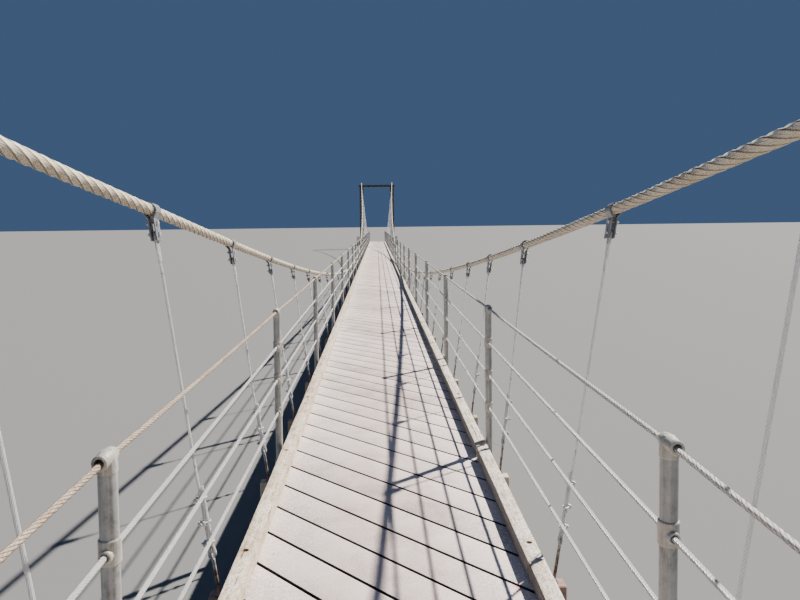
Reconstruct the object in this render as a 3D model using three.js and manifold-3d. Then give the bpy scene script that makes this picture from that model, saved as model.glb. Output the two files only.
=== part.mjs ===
// Suspension footbridge: a level timber deck hung by wire-rope hangers from two main cables that run
// over a steel portal tower at each end and down to concrete anchor blocks.
// Sizes are real ones in millimetres; the exported group is a 1:10 model of them.
// X runs across the deck, Y along the bridge from the middle of the span, Z up from the ground.
import * as THREE from 'three';
import { mergeVertices } from 'three/addons/utils/BufferGeometryUtils.js';
import Module from 'manifold-3d';

const wasm = await Module();
wasm.setup();

const MODEL_SCALE = 1 / 10;
const SEAT = 3; // clearance between pieces that touch
const BITE = 5; // how far fused members run into each other

// Deck
const HALF_SPAN = 39000; // middle of the span to a tower's centre line
const DECK_TOP = 600; // walking surface above the ground
const DECK_HALF_WIDTH = 700;
const BOARD_THICK = 45;
const DECK_END_GAP = 30;
const KERB_WIDE = 80;
const KERB_HIGH = 82;

// Floor frame
const BEAM_PITCH = 1360; // one floor beam and one pair of hangers
const BEAMS_PER_HALF = 28;
const BEAMS_PER_LENGTH = 14;
const BEAM_HALF_LENGTH = 830;
const BEAM_WIDE = 75;
const BEAM_DEEP = 100;
const STRINGER_LINES = [-650, 0, 650];
const STRINGER_WIDE = 95;
const STRINGER_DEEP = 65;

// Railing
const POST_PITCH = 2800;
const POSTS_PER_HALF = 15; // the last one stands on the abutment
const POSTS_PER_PANEL = 7;
const POST_X = 727;
const POST_RADIUS = 24.15;
const TOP_ROPE_HIGH = 1005;
const TOP_ROPE_RADIUS = 11;
const LOWER_ROPES_HIGH = [767, 540, 315];
const LOWER_ROPE_RADIUS = 6.5;
const HEAD_RADIUS = 30; // pipe tee that holds the top rope
const HEAD_HALF_LENGTH = 55;
const ROPE_TAIL = 60; // rope past the last post

// Main cables and hangers
const CABLE_RADIUS = 25;
const CABLE_SIDES = 6;
const CABLE_LOW = 297; // lowest point above the deck
const CABLE_RISE = 3.46e-6; // height gained over the square of the distance from mid-span
const CABLE_X = 832;
const CABLE_SPREAD = 0.39e-6; // the pair draws apart towards the towers by the same law
const SPAN_STEPS = 30;
const HANGER_RADIUS = 9;
const HANGER_FOOT_X = 772;

// Towers
const SADDLE_RADIUS = 600; // of the cable's centre line over a saddle
const SADDLE_STEPS = 6;
const SADDLE_HIGH = 150; // crossbeam's top to the cable's underside
const SADDLE_HALF_LENGTH = 230;
const SADDLE_HALF_WIDTH = 32; // between the cheeks
const CHEEK_THICK = 30;
const CHEEK_RISE = 45;
const LEG_SIDE = 360;
const LEG_FLANGE = 30;
const LEG_WEB = 22;
const BASE_PLATE_SIDE = 560;
const BASE_PLATE_THICK = 30;
const CROSSBEAM_DEEP = 200;
const CROSSBEAM_WIDE = 300;
const CROSSBEAM_FLANGE = 24;
const CROSSBEAM_WEB = 20;
const CROSSBEAM_OVERHANG = 260;
const FOOTING_SIDE = 800;
const FOOTING_HIGH = 250;

// Abutments and anchors
const ABUTMENT_HALF_WIDTH = 880;
const ABUTMENT_LEDGE = 500;
const ABUTMENT_LONG = 2500;
const BACKSTAY_RUN = 8600; // tower to the anchor block's face
const ANCHOR_EYE_HIGH = 650;
const ANCHOR_WIDE = 1000;
const ANCHOR_HIGH = 1000;
const ANCHOR_TAIL = 1500; // block behind its face at ground level
const SOCKET_RADIUS = 55;
const SOCKET_LONG = 600;
const ANCHOR_PLATE_RADIUS = 170;
const ANCHOR_PLATE_THICK = 40;

// Materials
const wireRope = new THREE.MeshStandardMaterial({ color: 0xcfc9b8, roughness: 0.5, metalness: 0.6 });
const galvanised = new THREE.MeshStandardMaterial({ color: 0x9a9c99, roughness: 0.45, metalness: 0.8 });
const towerSteel = new THREE.MeshStandardMaterial({ color: 0x55605c, roughness: 0.6, metalness: 0.6 });
const boards = new THREE.MeshStandardMaterial({ color: 0xbfb2a8, roughness: 0.85, metalness: 0 });
const kerbTimber = new THREE.MeshStandardMaterial({ color: 0xa89b88, roughness: 0.85, metalness: 0 });
const frameTimber = new THREE.MeshStandardMaterial({ color: 0x8a6a55, roughness: 0.85, metalness: 0 });
const concrete = new THREE.MeshStandardMaterial({ color: 0x9b9a94, roughness: 0.9, metalness: 0 });

const bridge = new THREE.Group();
bridge.scale.setScalar(MODEL_SCALE);

function addPiece(name, geometry, material) {
  const mesh = new THREE.Mesh(geometry, material);
  mesh.name = name;
  bridge.add(mesh);
}

// Solid modelling helpers
function signedVolume(positions, triangles) {
  const a = new THREE.Vector3();
  const b = new THREE.Vector3();
  const c = new THREE.Vector3();
  let volume = 0;
  for (let i = 0; i < triangles.length; i += 3) {
    a.fromArray(positions, 3 * triangles[i]);
    b.fromArray(positions, 3 * triangles[i + 1]);
    c.fromArray(positions, 3 * triangles[i + 2]);
    volume += a.dot(b.cross(c)) / 6;
  }
  return volume;
}

function toSolid(geometry) {
  const bare = geometry.clone();
  bare.deleteAttribute('normal');
  bare.deleteAttribute('uv');
  const merged = mergeVertices(bare, 0.01);
  const vertProperties = new Float32Array(merged.attributes.position.array);
  const triVerts = new Uint32Array(merged.index.array);
  if (signedVolume(vertProperties, triVerts) < 0) {
    for (let i = 0; i < triVerts.length; i += 3) {
      triVerts.subarray(i, i + 2).reverse();
    }
  }
  return new wasm.Manifold(new wasm.Mesh({ numProp: 3, vertProperties, triVerts }));
}

function toGeometry(solid) {
  const mesh = solid.getMesh();
  const geometry = new THREE.BufferGeometry();
  geometry.setAttribute('position', new THREE.BufferAttribute(mesh.vertProperties, 3));
  geometry.setIndex(new THREE.BufferAttribute(mesh.triVerts, 1));
  return geometry;
}

function fuse(geometries) {
  return toGeometry(wasm.Manifold.union(geometries.map(toSolid)));
}

function box(low, high) {
  const size = new THREE.Vector3().subVectors(high, low);
  const middle = new THREE.Vector3().addVectors(low, high).multiplyScalar(0.5);
  const geometry = new THREE.BoxGeometry(size.x, size.y, size.z);
  return geometry.translate(middle.x, middle.y, middle.z);
}

function at(x, y, z) {
  return new THREE.Vector3(x, y, z);
}

// A straight bar of few sides between two points
function bar(from, to, radius, sides, turn = 0) {
  const along = new THREE.Vector3().subVectors(to, from);
  const geometry = new THREE.CylinderGeometry(radius, radius, along.length(), sides, 1, false, turn);
  geometry.applyQuaternion(new THREE.Quaternion().setFromUnitVectors(at(0, 1, 0), along.normalize()));
  const middle = new THREE.Vector3().addVectors(from, to).multiplyScalar(0.5);
  return geometry.translate(middle.x, middle.y, middle.z);
}

// An outline in the YZ plane given length along X
function plateAcross(outline, fromX, toX) {
  const shape = new THREE.Shape(outline.map(([y, z]) => new THREE.Vector2(y, z)));
  const geometry = new THREE.ExtrudeGeometry(shape, { depth: toX - fromX, bevelEnabled: false });
  const basis = new THREE.Matrix4().makeBasis(at(0, 1, 0), at(0, 0, 1), at(1, 0, 0));
  return geometry.applyMatrix4(basis).translate(fromX, 0, 0);
}

// Main cable's route
const towerZ = DECK_TOP + CABLE_LOW + CABLE_RISE * HALF_SPAN ** 2;
const spanAngle = Math.atan(2 * CABLE_RISE * HALF_SPAN);
const backstayAngle = Math.atan((towerZ - ANCHOR_EYE_HIGH) / BACKSTAY_RUN);
const halfBend = (spanAngle + backstayAngle) / 2;
const saddleTangent = SADDLE_RADIUS * Math.tan(halfBend);
const saddleTilt = (backstayAngle - spanAngle) / 2;
const saddleCentreDrop = SADDLE_RADIUS / Math.cos(halfBend);
const saddleCentreY = HALF_SPAN - saddleCentreDrop * Math.sin(saddleTilt);
const saddleCentreZ = towerZ - saddleCentreDrop * Math.cos(saddleTilt);

function cableX(y) {
  return CABLE_X + CABLE_SPREAD * y ** 2;
}

function cableZ(y) {
  return DECK_TOP + CABLE_LOW + CABLE_RISE * y ** 2;
}

const anchorX = cableX(HALF_SPAN) + 2 * CABLE_SPREAD * HALF_SPAN * BACKSTAY_RUN;

function backstayPoint(fromFace) {
  const run = BACKSTAY_RUN - fromFace * Math.cos(backstayAngle);
  const share = run / BACKSTAY_RUN;
  const x = cableX(HALF_SPAN) + share * (anchorX - cableX(HALF_SPAN));
  return at(x, HALF_SPAN + run, towerZ - share * (towerZ - ANCHOR_EYE_HIGH));
}

function saddlePoint(angle) {
  const y = saddleCentreY + SADDLE_RADIUS * Math.sin(angle);
  return at(cableX(y), y, saddleCentreZ + SADDLE_RADIUS * Math.cos(angle));
}

// Half of the route, from mid-span over one saddle to the socket at its anchor
function halfRoute() {
  const points = [];
  const spanEnd = HALF_SPAN - saddleTangent * Math.cos(spanAngle);
  for (let i = 0; i < SPAN_STEPS / 2; i++) {
    const y = (spanEnd * i) / (SPAN_STEPS / 2);
    points.push(at(cableX(y), y, cableZ(y)));
  }
  for (let i = 0; i <= SADDLE_STEPS; i++) {
    points.push(saddlePoint(-spanAngle + ((spanAngle + backstayAngle) * i) / SADDLE_STEPS));
  }
  points.push(backstayPoint(SOCKET_LONG + ANCHOR_PLATE_THICK));
  return points;
}

// A route that keeps its own stations instead of even spacing
class Route extends THREE.Curve {
  constructor(points) {
    super();
    this.points = points;
  }

  getPoint(t, target = new THREE.Vector3()) {
    const last = this.points.length - 1;
    const index = Math.min(Math.floor(t * last), last - 1);
    return target.lerpVectors(this.points[index], this.points[index + 1], t * last - index);
  }

  getUtoTmapping(u) {
    return u;
  }
}

function cableTube(side) {
  const half = halfRoute();
  const mirrored = half.slice(1).reverse().map((p) => at(p.x, -p.y, p.z));
  const points = [...mirrored, ...half].map((p) => at(side * p.x, p.y, p.z));
  const section = new THREE.Shape();
  for (let i = 0; i < CABLE_SIDES; i++) {
    const angle = (2 * Math.PI * i) / CABLE_SIDES;
    const corner = [CABLE_RADIUS * Math.cos(angle), CABLE_RADIUS * Math.sin(angle)];
    if (i === 0) {
      section.moveTo(...corner);
    } else {
      section.lineTo(...corner);
    }
  }
  const options = { steps: points.length - 1, extrudePath: new Route(points), bevelEnabled: false };
  return new THREE.ExtrudeGeometry(section, options);
}

// Every hanger stands on the end of its floor beam and reaches the cable's centre
function hanger(side, y) {
  const foot = at(side * HANGER_FOOT_X, y, DECK_TOP - BOARD_THICK - STRINGER_DEEP + SEAT);
  const head = at(side * cableX(y), y, cableZ(y));
  return bar(foot, head, HANGER_RADIUS, 4);
}

function beamPlaces(first, count) {
  return Array.from({ length: count }, (_, i) => (first + i + 0.5) * BEAM_PITCH);
}

const sides = [
  ['left', -1],
  ['right', 1],
];
const ends = [
  ['south', -1],
  ['north', 1],
];

for (const [sideName, side] of sides) {
  const hangers = beamPlaces(-BEAMS_PER_HALF, 2 * BEAMS_PER_HALF).map((y) => hanger(side, y));
  addPiece(`main_cable_${sideName}`, fuse([cableTube(side), ...hangers]), wireRope);
}

// Railing panels: upright pipes with four ropes running through them
function railPost(side, y, bottom) {
  const top = DECK_TOP + TOP_ROPE_HIGH;
  return bar(at(side * POST_X, y, bottom), at(side * POST_X, y, top), POST_RADIUS, 6, Math.PI / 2);
}

function postHead(side, y) {
  const z = DECK_TOP + TOP_ROPE_HIGH;
  const from = at(side * POST_X, y - HEAD_HALF_LENGTH, z);
  return bar(from, at(side * POST_X, y + HEAD_HALF_LENGTH, z), HEAD_RADIUS, 6);
}

function railRope(side, from, to, height, radius) {
  const z = DECK_TOP + height;
  return bar(at(side * POST_X, from, z), at(side * POST_X, to, z), radius, 4);
}

function railPanel(side, first, count, from, to) {
  const edgeBottom = DECK_TOP - BOARD_THICK - STRINGER_DEEP + SEAT;
  const pieces = [];
  for (let i = first; i < first + count; i++) {
    const y = (i + 0.5) * POST_PITCH;
    const onAbutment = Math.abs(y) > HALF_SPAN;
    pieces.push(railPost(side, y, onAbutment ? DECK_TOP + SEAT : edgeBottom));
    pieces.push(postHead(side, y));
  }
  pieces.push(railRope(side, from, to, TOP_ROPE_HIGH, TOP_ROPE_RADIUS));
  for (const height of LOWER_ROPES_HIGH) {
    pieces.push(railRope(side, from, to, height, LOWER_ROPE_RADIUS));
  }
  return fuse(pieces);
}

const railEnd = (POSTS_PER_HALF - 0.5) * POST_PITCH + ROPE_TAIL;
const panelJoint = POSTS_PER_PANEL * POST_PITCH;
const outerPosts = POSTS_PER_HALF - POSTS_PER_PANEL;
for (const [sideName, side] of sides) {
  const panels = [
    [-POSTS_PER_HALF, outerPosts, -railEnd, -panelJoint - SEAT / 2],
    [-POSTS_PER_PANEL, POSTS_PER_PANEL, -panelJoint + SEAT / 2, -SEAT / 2],
    [0, POSTS_PER_PANEL, SEAT / 2, panelJoint - SEAT / 2],
    [POSTS_PER_PANEL, outerPosts, panelJoint + SEAT / 2, railEnd],
  ];
  panels.forEach(([first, count, from, to], index) => {
    addPiece(`railing_${sideName}_${index + 1}`, railPanel(side, first, count, from, to), galvanised);
  });
}

// Deck in four lengths: boards on a frame of stringers and floor beams
const deckEnd = HALF_SPAN + ABUTMENT_LEDGE / 2 - DECK_END_GAP;
const lengthJoint = BEAMS_PER_LENGTH * BEAM_PITCH;
const boardsBottom = DECK_TOP - BOARD_THICK;
const beamTop = boardsBottom - STRINGER_DEEP;

function floorBeam(y) {
  const low = at(-BEAM_HALF_LENGTH, y - BEAM_WIDE / 2, beamTop - BEAM_DEEP);
  return box(low, at(BEAM_HALF_LENGTH, y + BEAM_WIDE / 2, beamTop));
}

function stringer(x, from, to) {
  const low = at(x - STRINGER_WIDE / 2, from, beamTop - BITE);
  return box(low, at(x + STRINGER_WIDE / 2, to, boardsBottom - SEAT));
}

const lengths = [
  [-deckEnd, -lengthJoint - SEAT / 2],
  [-lengthJoint + SEAT / 2, -SEAT / 2],
  [SEAT / 2, lengthJoint - SEAT / 2],
  [lengthJoint + SEAT / 2, deckEnd],
];
lengths.forEach(([from, to], index) => {
  const boardLow = at(-DECK_HALF_WIDTH, from, boardsBottom);
  addPiece(`deck_boards_${index + 1}`, box(boardLow, at(DECK_HALF_WIDTH, to, DECK_TOP)), boards);
  const places = beamPlaces((index - 2) * BEAMS_PER_LENGTH, BEAMS_PER_LENGTH);
  if (index === 0) {
    places.push(-HALF_SPAN);
  }
  if (index === 3) {
    places.push(HALF_SPAN);
  }
  const lines = STRINGER_LINES.map((x) => stringer(x, from, to));
  addPiece(`floor_frame_${index + 1}`, fuse([...lines, ...places.map(floorBeam)]), frameTimber);
});

for (const [sideName, side] of sides) {
  const outer = side * DECK_HALF_WIDTH;
  const inner = side * (DECK_HALF_WIDTH - KERB_WIDE);
  const low = at(Math.min(outer, inner), -deckEnd, DECK_TOP + SEAT);
  const high = at(Math.max(outer, inner), deckEnd, DECK_TOP + KERB_HIGH);
  addPiece(`kerb_${sideName}`, box(low, high), kerbTimber);
}

// Portal towers: two H-section legs, a crossbeam and two cable saddles
const crossbeamTop = saddleCentreZ + SADDLE_RADIUS - CABLE_RADIUS - SADDLE_HIGH;
const crossbeamBottom = crossbeamTop - CROSSBEAM_DEEP;
const legX = cableX(HALF_SPAN);

// An H outline whose flanges lie at the low and the high end of its second direction
function sectionOutline(wide, deep, flange, web) {
  const side = wide / 2;
  const half = deep / 2;
  const inside = half - flange;
  return [
    [-side, -half], [side, -half], [side, -inside], [web / 2, -inside], [web / 2, inside], [side, inside],
    [side, half], [-side, half], [-side, inside], [-web / 2, inside], [-web / 2, -inside], [-side, -inside],
  ];
}

function towerLeg(x, y) {
  const outline = sectionOutline(LEG_SIDE, LEG_SIDE, LEG_FLANGE, LEG_WEB);
  const shape = new THREE.Shape(outline.map(([u, v]) => new THREE.Vector2(u, v)));
  const bottom = FOOTING_HIGH + SEAT;
  const depth = crossbeamBottom - SEAT - bottom;
  const column = new THREE.ExtrudeGeometry(shape, { depth, bevelEnabled: false });
  column.translate(x, y, bottom);
  const reach = BASE_PLATE_SIDE / 2;
  const plateTop = bottom + BASE_PLATE_THICK;
  const plate = box(at(x - reach, y - reach, bottom), at(x + reach, y + reach, plateTop));
  return fuse([column, plate]);
}

// A saddle's outline in the YZ plane: flat base, top rounded about the cable's centre of bend
function saddleOutline(radius, end) {
  const outline = [[end * HALF_SPAN - SADDLE_HALF_LENGTH, crossbeamTop + SEAT]];
  outline.push([end * HALF_SPAN + SADDLE_HALF_LENGTH, crossbeamTop + SEAT]);
  const centreY = end * saddleCentreY;
  for (let i = 0; i <= SADDLE_STEPS; i++) {
    const offset = SADDLE_HALF_LENGTH * (1 - (2 * i) / SADDLE_STEPS);
    const y = end * HALF_SPAN + offset;
    outline.push([y, saddleCentreZ + Math.sqrt(radius ** 2 - (y - centreY) ** 2)]);
  }
  return outline;
}

function saddle(x, end) {
  const bed = saddleOutline(SADDLE_RADIUS - CABLE_RADIUS - SEAT, end);
  const cheek = saddleOutline(SADDLE_RADIUS - CABLE_RADIUS + CHEEK_RISE, end);
  const inside = SADDLE_HALF_WIDTH;
  const outside = SADDLE_HALF_WIDTH + CHEEK_THICK;
  return fuse([
    plateAcross(bed, x - inside - BITE, x + inside + BITE),
    plateAcross(cheek, x - outside, x - inside),
    plateAcross(cheek, x + inside, x + outside),
  ]);
}

for (const [endName, end] of ends) {
  const y = end * HALF_SPAN;
  const beamHalf = legX + CROSSBEAM_OVERHANG;
  const section = sectionOutline(CROSSBEAM_WIDE, CROSSBEAM_DEEP, CROSSBEAM_FLANGE, CROSSBEAM_WEB);
  const middleZ = (crossbeamTop + crossbeamBottom) / 2;
  const placed = section.map(([across, up]) => [y + across, middleZ + up]);
  addPiece(`tower_crossbeam_${endName}`, fuse([plateAcross(placed, -beamHalf, beamHalf)]), towerSteel);
  for (const [sideName, side] of sides) {
    const x = side * legX;
    const reach = FOOTING_SIDE / 2;
    const footing = box(at(x - reach, y - reach, 0), at(x + reach, y + reach, FOOTING_HIGH));
    addPiece(`tower_footing_${endName}_${sideName}`, footing, concrete);
    addPiece(`tower_leg_${endName}_${sideName}`, towerLeg(x, y), towerSteel);
    addPiece(`cable_saddle_${endName}_${sideName}`, saddle(x, end), galvanised);
  }
}

// Abutments: a ledge under the deck's last beam, then a block level with the boards
for (const [endName, end] of ends) {
  const ledgeTop = beamTop - BEAM_DEEP - SEAT;
  const front = end * (HALF_SPAN - ABUTMENT_LEDGE / 2);
  const step = end * (HALF_SPAN + ABUTMENT_LEDGE / 2);
  const back = step + end * ABUTMENT_LONG;
  const outline = [[front, 0], [back, 0], [back, DECK_TOP], [step, DECK_TOP], [step, ledgeTop], [front, ledgeTop]];
  const block = fuse([plateAcross(outline, -ABUTMENT_HALF_WIDTH, ABUTMENT_HALF_WIDTH)]);
  addPiece(`abutment_${endName}`, block, concrete);
}

// Anchors: a concrete block whose face is square to the backstay, and a socket bolted to it
function anchorBlock(side, end) {
  const faceY = HALF_SPAN + BACKSTAY_RUN;
  const slope = Math.tan(backstayAngle);
  const atGround = faceY - ANCHOR_EYE_HIGH * slope;
  const atTop = faceY + (ANCHOR_HIGH - ANCHOR_EYE_HIGH) * slope;
  const back = faceY + ANCHOR_TAIL;
  const outline = [[atGround, 0], [back, 0], [back, ANCHOR_HIGH], [atTop, ANCHOR_HIGH]];
  const x = side * anchorX;
  const half = ANCHOR_WIDE / 2;
  return fuse([plateAcross(outline.map(([y, z]) => [end * y, z]), x - half, x + half)]);
}

function anchorSocket(side, end) {
  const place = (fromFace) => {
    const point = backstayPoint(fromFace);
    return at(side * point.x, end * point.y, point.z);
  };
  const plate = bar(place(2 * SEAT), place(ANCHOR_PLATE_THICK), ANCHOR_PLATE_RADIUS, 8);
  const barrel = bar(place(ANCHOR_PLATE_THICK - BITE), place(SOCKET_LONG + ANCHOR_PLATE_THICK - SEAT), SOCKET_RADIUS, 8);
  return fuse([plate, barrel]);
}

for (const [endName, end] of ends) {
  for (const [sideName, side] of sides) {
    addPiece(`anchor_block_${endName}_${sideName}`, anchorBlock(side, end), concrete);
    addPiece(`anchor_socket_${endName}_${sideName}`, anchorSocket(side, end), galvanised);
  }
}

export default bridge;
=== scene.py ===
import math
import random

import bmesh
import bpy
import numpy as np
from mathutils import Matrix, Vector


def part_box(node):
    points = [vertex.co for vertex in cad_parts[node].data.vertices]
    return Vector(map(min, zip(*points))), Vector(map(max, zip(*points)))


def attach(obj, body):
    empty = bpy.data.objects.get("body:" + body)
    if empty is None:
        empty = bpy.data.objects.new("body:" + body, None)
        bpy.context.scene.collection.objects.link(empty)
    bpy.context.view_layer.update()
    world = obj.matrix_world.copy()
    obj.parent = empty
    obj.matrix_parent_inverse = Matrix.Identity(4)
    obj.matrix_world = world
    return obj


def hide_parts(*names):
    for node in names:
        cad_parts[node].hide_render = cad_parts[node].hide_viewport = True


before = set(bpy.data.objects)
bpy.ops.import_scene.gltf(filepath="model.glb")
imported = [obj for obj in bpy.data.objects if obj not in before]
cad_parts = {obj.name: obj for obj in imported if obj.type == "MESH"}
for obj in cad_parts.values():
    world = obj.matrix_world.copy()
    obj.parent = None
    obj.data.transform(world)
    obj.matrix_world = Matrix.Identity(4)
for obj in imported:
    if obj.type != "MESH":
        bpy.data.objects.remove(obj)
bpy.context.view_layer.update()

# Camera
# It stands on the deck at eye height, 22.7 m before the middle of the span, and looks along the boards.
SCALE = 0.1  # the part is a 1:10 model, and every size below is a real one in metres
EYE = Vector((-0.035, -22.668, 1.586))  # from the middle of the deck's top
LOOK_RIGHT = 0.03488
LOOK_DOWN = 0.05009
HEAD_TILT = 0.01171
LENS = 29.41
SENSOR = 36.0
VIEW_SHIFT = -0.0532

deck_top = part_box("deck_boards_2")[1].z / SCALE

turn = Matrix.Rotation(-LOOK_RIGHT, 4, "Z") @ Matrix.Rotation(math.pi / 2 - LOOK_DOWN, 4, "X")
turn = turn @ Matrix.Rotation(-HEAD_TILT, 4, "Z")
eye_place = Matrix.Translation((EYE + Vector((0, 0, deck_top))) * SCALE)
camera_data = bpy.data.cameras.new("camera")
camera_data.lens = LENS
camera_data.sensor_width = SENSOR
camera_data.shift_y = VIEW_SHIFT
camera_data.clip_start = 0.002
camera = bpy.data.objects.new("camera", camera_data)
camera.matrix_world = eye_place @ turn
bpy.context.scene.collection.objects.link(camera)
bpy.context.scene.camera = camera


# Floor and light
# A plain pale floor out to the horizon, a soft sky all round and one wide lamp high on the right.
FLOOR_REACH = 600.0
FLOOR_COLOUR = (0.20, 0.20, 0.195, 1)
SKY_COLOUR = (0.28, 0.50, 1.0, 1)
SKY_STRENGTH = 0.195
LAMP_TRAVEL = Vector((-0.522, -0.412, -0.747))
LAMP_STRENGTH = 9.8
LAMP_WIDTH = math.radians(1.2)
LAMP_COLOUR = (1, 0.952, 0.89)


def plain_material(name, colour, roughness):
    material = bpy.data.materials.new(name)
    material.use_nodes = True
    shader = material.node_tree.nodes["Principled BSDF"]
    shader.inputs["Base Color"].default_value = colour
    shader.inputs["Roughness"].default_value = roughness
    return material


def lay_floor():
    bm = bmesh.new()
    bmesh.ops.create_grid(bm, x_segments=1, y_segments=1, size=FLOOR_REACH * SCALE)
    mesh = bpy.data.meshes.new("floor")
    bm.to_mesh(mesh)
    bm.free()
    mesh.materials.append(plain_material("pale_floor", FLOOR_COLOUR, 0.95))
    floor = bpy.data.objects.new("floor", mesh)
    bpy.context.scene.collection.objects.link(floor)


def light_scene():
    lamp_data = bpy.data.lights.new("lamp", "SUN")
    lamp_data.energy = LAMP_STRENGTH
    lamp_data.angle = LAMP_WIDTH
    lamp_data.color = LAMP_COLOUR
    lamp = bpy.data.objects.new("lamp", lamp_data)
    lamp.rotation_euler = LAMP_TRAVEL.to_track_quat("-Z", "Y").to_euler()
    bpy.context.scene.collection.objects.link(lamp)
    world = bpy.data.worlds.new("sky")
    world.use_nodes = True
    sky = world.node_tree.nodes["Background"]
    sky.inputs["Color"].default_value = SKY_COLOUR
    sky.inputs["Strength"].default_value = SKY_STRENGTH
    bpy.context.scene.world = world


lay_floor()
light_scene()


# Concrete footings, abutments and anchor blocks
# Cast in board forms and left as struck, with chamfered arrises; the steel and the deck stand on them.
CHAMFER = 0.02
FORM_BOARD = 0.15
FLAT_WITHIN = math.radians(2)  # facets that count as one flat face
ARRIS_FROM = math.radians(25)
SHARP_FROM = 25  # degrees
ENDS = {"south": -1, "north": 1}
SIDES = {"left": -1, "right": 1}


class Finish:
    """A node material whose patterns are measured in metres of the real bridge"""

    def __init__(self, name, roughness, metallic=0.0):
        self.material = bpy.data.materials.new(name)
        self.material.use_nodes = True
        self.tree = self.material.node_tree
        self.shader = self.tree.nodes["Principled BSDF"]
        self.shader.inputs["Roughness"].default_value = roughness
        self.shader.inputs["Metallic"].default_value = metallic
        coordinates = self.tree.nodes.new("ShaderNodeTexCoord")
        self.place = self.stretched(coordinates.outputs["Object"], (1 / SCALE,) * 3)
        self.relief = None

    def feed(self, socket, value):
        if isinstance(value, bpy.types.NodeSocket):
            self.tree.links.new(value, socket)
        else:
            socket.default_value = value

    def node(self, kind, inputs, **settings):
        node = self.tree.nodes.new(kind)
        for key, value in settings.items():
            setattr(node, key, value)
        for socket, value in inputs.items():
            self.feed(node.inputs[socket], value)
        return node

    def stretched(self, vector, stretch):
        return self.node("ShaderNodeMapping", {"Vector": vector, "Scale": stretch}).outputs[0]

    def noise(self, scale, detail=3.0, rough=0.5, stretch=None):
        place = self.stretched(self.place, stretch) if stretch else self.place
        inputs = {"Vector": place, "Scale": scale, "Detail": detail, "Roughness": rough}
        return self.node("ShaderNodeTexNoise", inputs).outputs[0]

    def levels(self, value, low, high, bottom=0.0, top=1.0):
        inputs = {"Value": value, "From Min": low, "From Max": high, "To Min": bottom, "To Max": top}
        return self.node("ShaderNodeMapRange", inputs).outputs[0]

    def maths(self, operation, first, second=0.5):
        return self.node("ShaderNodeMath", {0: first, 1: second}, operation=operation).outputs[0]

    def times(self, first, second):
        return self.maths("MULTIPLY", first, second)

    def plus(self, first, second):
        return self.maths("ADD", first, second)

    def flipped(self, value):
        return self.maths("SUBTRACT", 1.0, value)

    def weighted(self, *parts):
        """Sum of the values, each by its weight"""
        total = self.times(*parts[0])
        for value, weight in parts[1:]:
            total = self.plus(total, self.times(value, weight))
        return total

    def split(self, vector):
        return self.node("ShaderNodeSeparateXYZ", {0: vector}).outputs

    def facing(self, kind="Normal"):
        """X, Y and Z of the surface's direction"""
        return self.split(self.node("ShaderNodeNewGeometry", {}).outputs[kind])

    def distance(self, point):
        inputs = {0: self.place, 1: point}
        return self.node("ShaderNodeVectorMath", inputs, operation="DISTANCE").outputs[1]

    def attribute(self, name):
        return self.node("ShaderNodeAttribute", {}, attribute_name=name).outputs["Fac"]

    def ramp(self, value, *stops):
        node = self.node("ShaderNodeValToRGB", {0: value})
        elements = node.color_ramp.elements
        while len(elements) < len(stops):
            elements.new(1.0)
        for element, (position, colour) in zip(elements, stops):
            element.position = position
            element.color = (*colour, 1)
        return node.outputs[0]

    def mix(self, factor, first, second, blend="MIX"):
        inputs = {0: factor, 6: first, 7: second}
        node = self.node("ShaderNodeMix", {}, data_type="RGBA", blend_type=blend)
        for index, value in inputs.items():
            if isinstance(value, tuple):
                value = (*value, 1)
            self.feed(node.inputs[index], value)
        return node.outputs[2]

    def colour(self, value):
        self.feed(self.shader.inputs["Base Color"], value)

    def roughness(self, value):
        self.feed(self.shader.inputs["Roughness"], value)

    def bump(self, height, depth):
        inputs = {"Height": height, "Distance": depth * SCALE, "Strength": 1.0}
        if self.relief is not None:
            inputs["Normal"] = self.relief
        self.relief = self.node("ShaderNodeBump", inputs).outputs[0]
        self.feed(self.shader.inputs["Normal"], self.relief)


def concrete_finish():
    finish = Finish("board_formed_concrete", 0.9)
    patches = finish.noise(1.1, 6, 0.6)
    colour = finish.ramp(
        patches, (0.3, (0.26, 0.25, 0.23)), (0.55, (0.40, 0.39, 0.36)), (0.75, (0.50, 0.48, 0.44)),
    )
    streaks = finish.levels(finish.noise(1.0, 4, 0.6, (9, 9, 0.7)), 0.52, 0.72)
    colour = finish.mix(finish.times(streaks, 0.5), colour, (0.17, 0.165, 0.15))
    grain = finish.noise(70, 3, 0.6)
    colour = finish.mix(0.22, colour, grain, "OVERLAY")
    finish.colour(colour)
    height = finish.split(finish.place)[2]
    board = finish.maths("FRACT", finish.maths("DIVIDE", height, FORM_BOARD))
    joint = finish.levels(finish.maths("ABSOLUTE", finish.maths("SUBTRACT", board, 0.5)), 0.47, 0.5)
    finish.bump(joint, 0.004)
    holes = finish.levels(finish.noise(28, 1, 0.4), 0.66, 0.74)
    finish.bump(finish.flipped(holes), 0.003)
    finish.bump(grain, 0.0015)
    return finish.material


def ease(bm, edges, size, segments=2):
    """Takes the edges off, and gives the new corners"""
    return bmesh.ops.bevel(
        bm, geom=edges, offset=size, segments=segments, profile=0.5, affect="EDGES", material=-1
    )["verts"]


def dressed_copy(node, edge):
    """The node's own solid with its facets joined into flat faces and its arrises taken off"""
    bm = bmesh.new()
    bm.from_mesh(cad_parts[node].data)
    bmesh.ops.scale(bm, vec=(1 / SCALE,) * 3, verts=bm.verts)
    bmesh.ops.remove_doubles(bm, verts=bm.verts, dist=1e-4)
    bmesh.ops.dissolve_limit(bm, angle_limit=FLAT_WITHIN, verts=bm.verts, edges=bm.edges)
    ease(bm, [e for e in bm.edges if e.calc_face_angle(0) > ARRIS_FROM], edge)
    return bm


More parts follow.
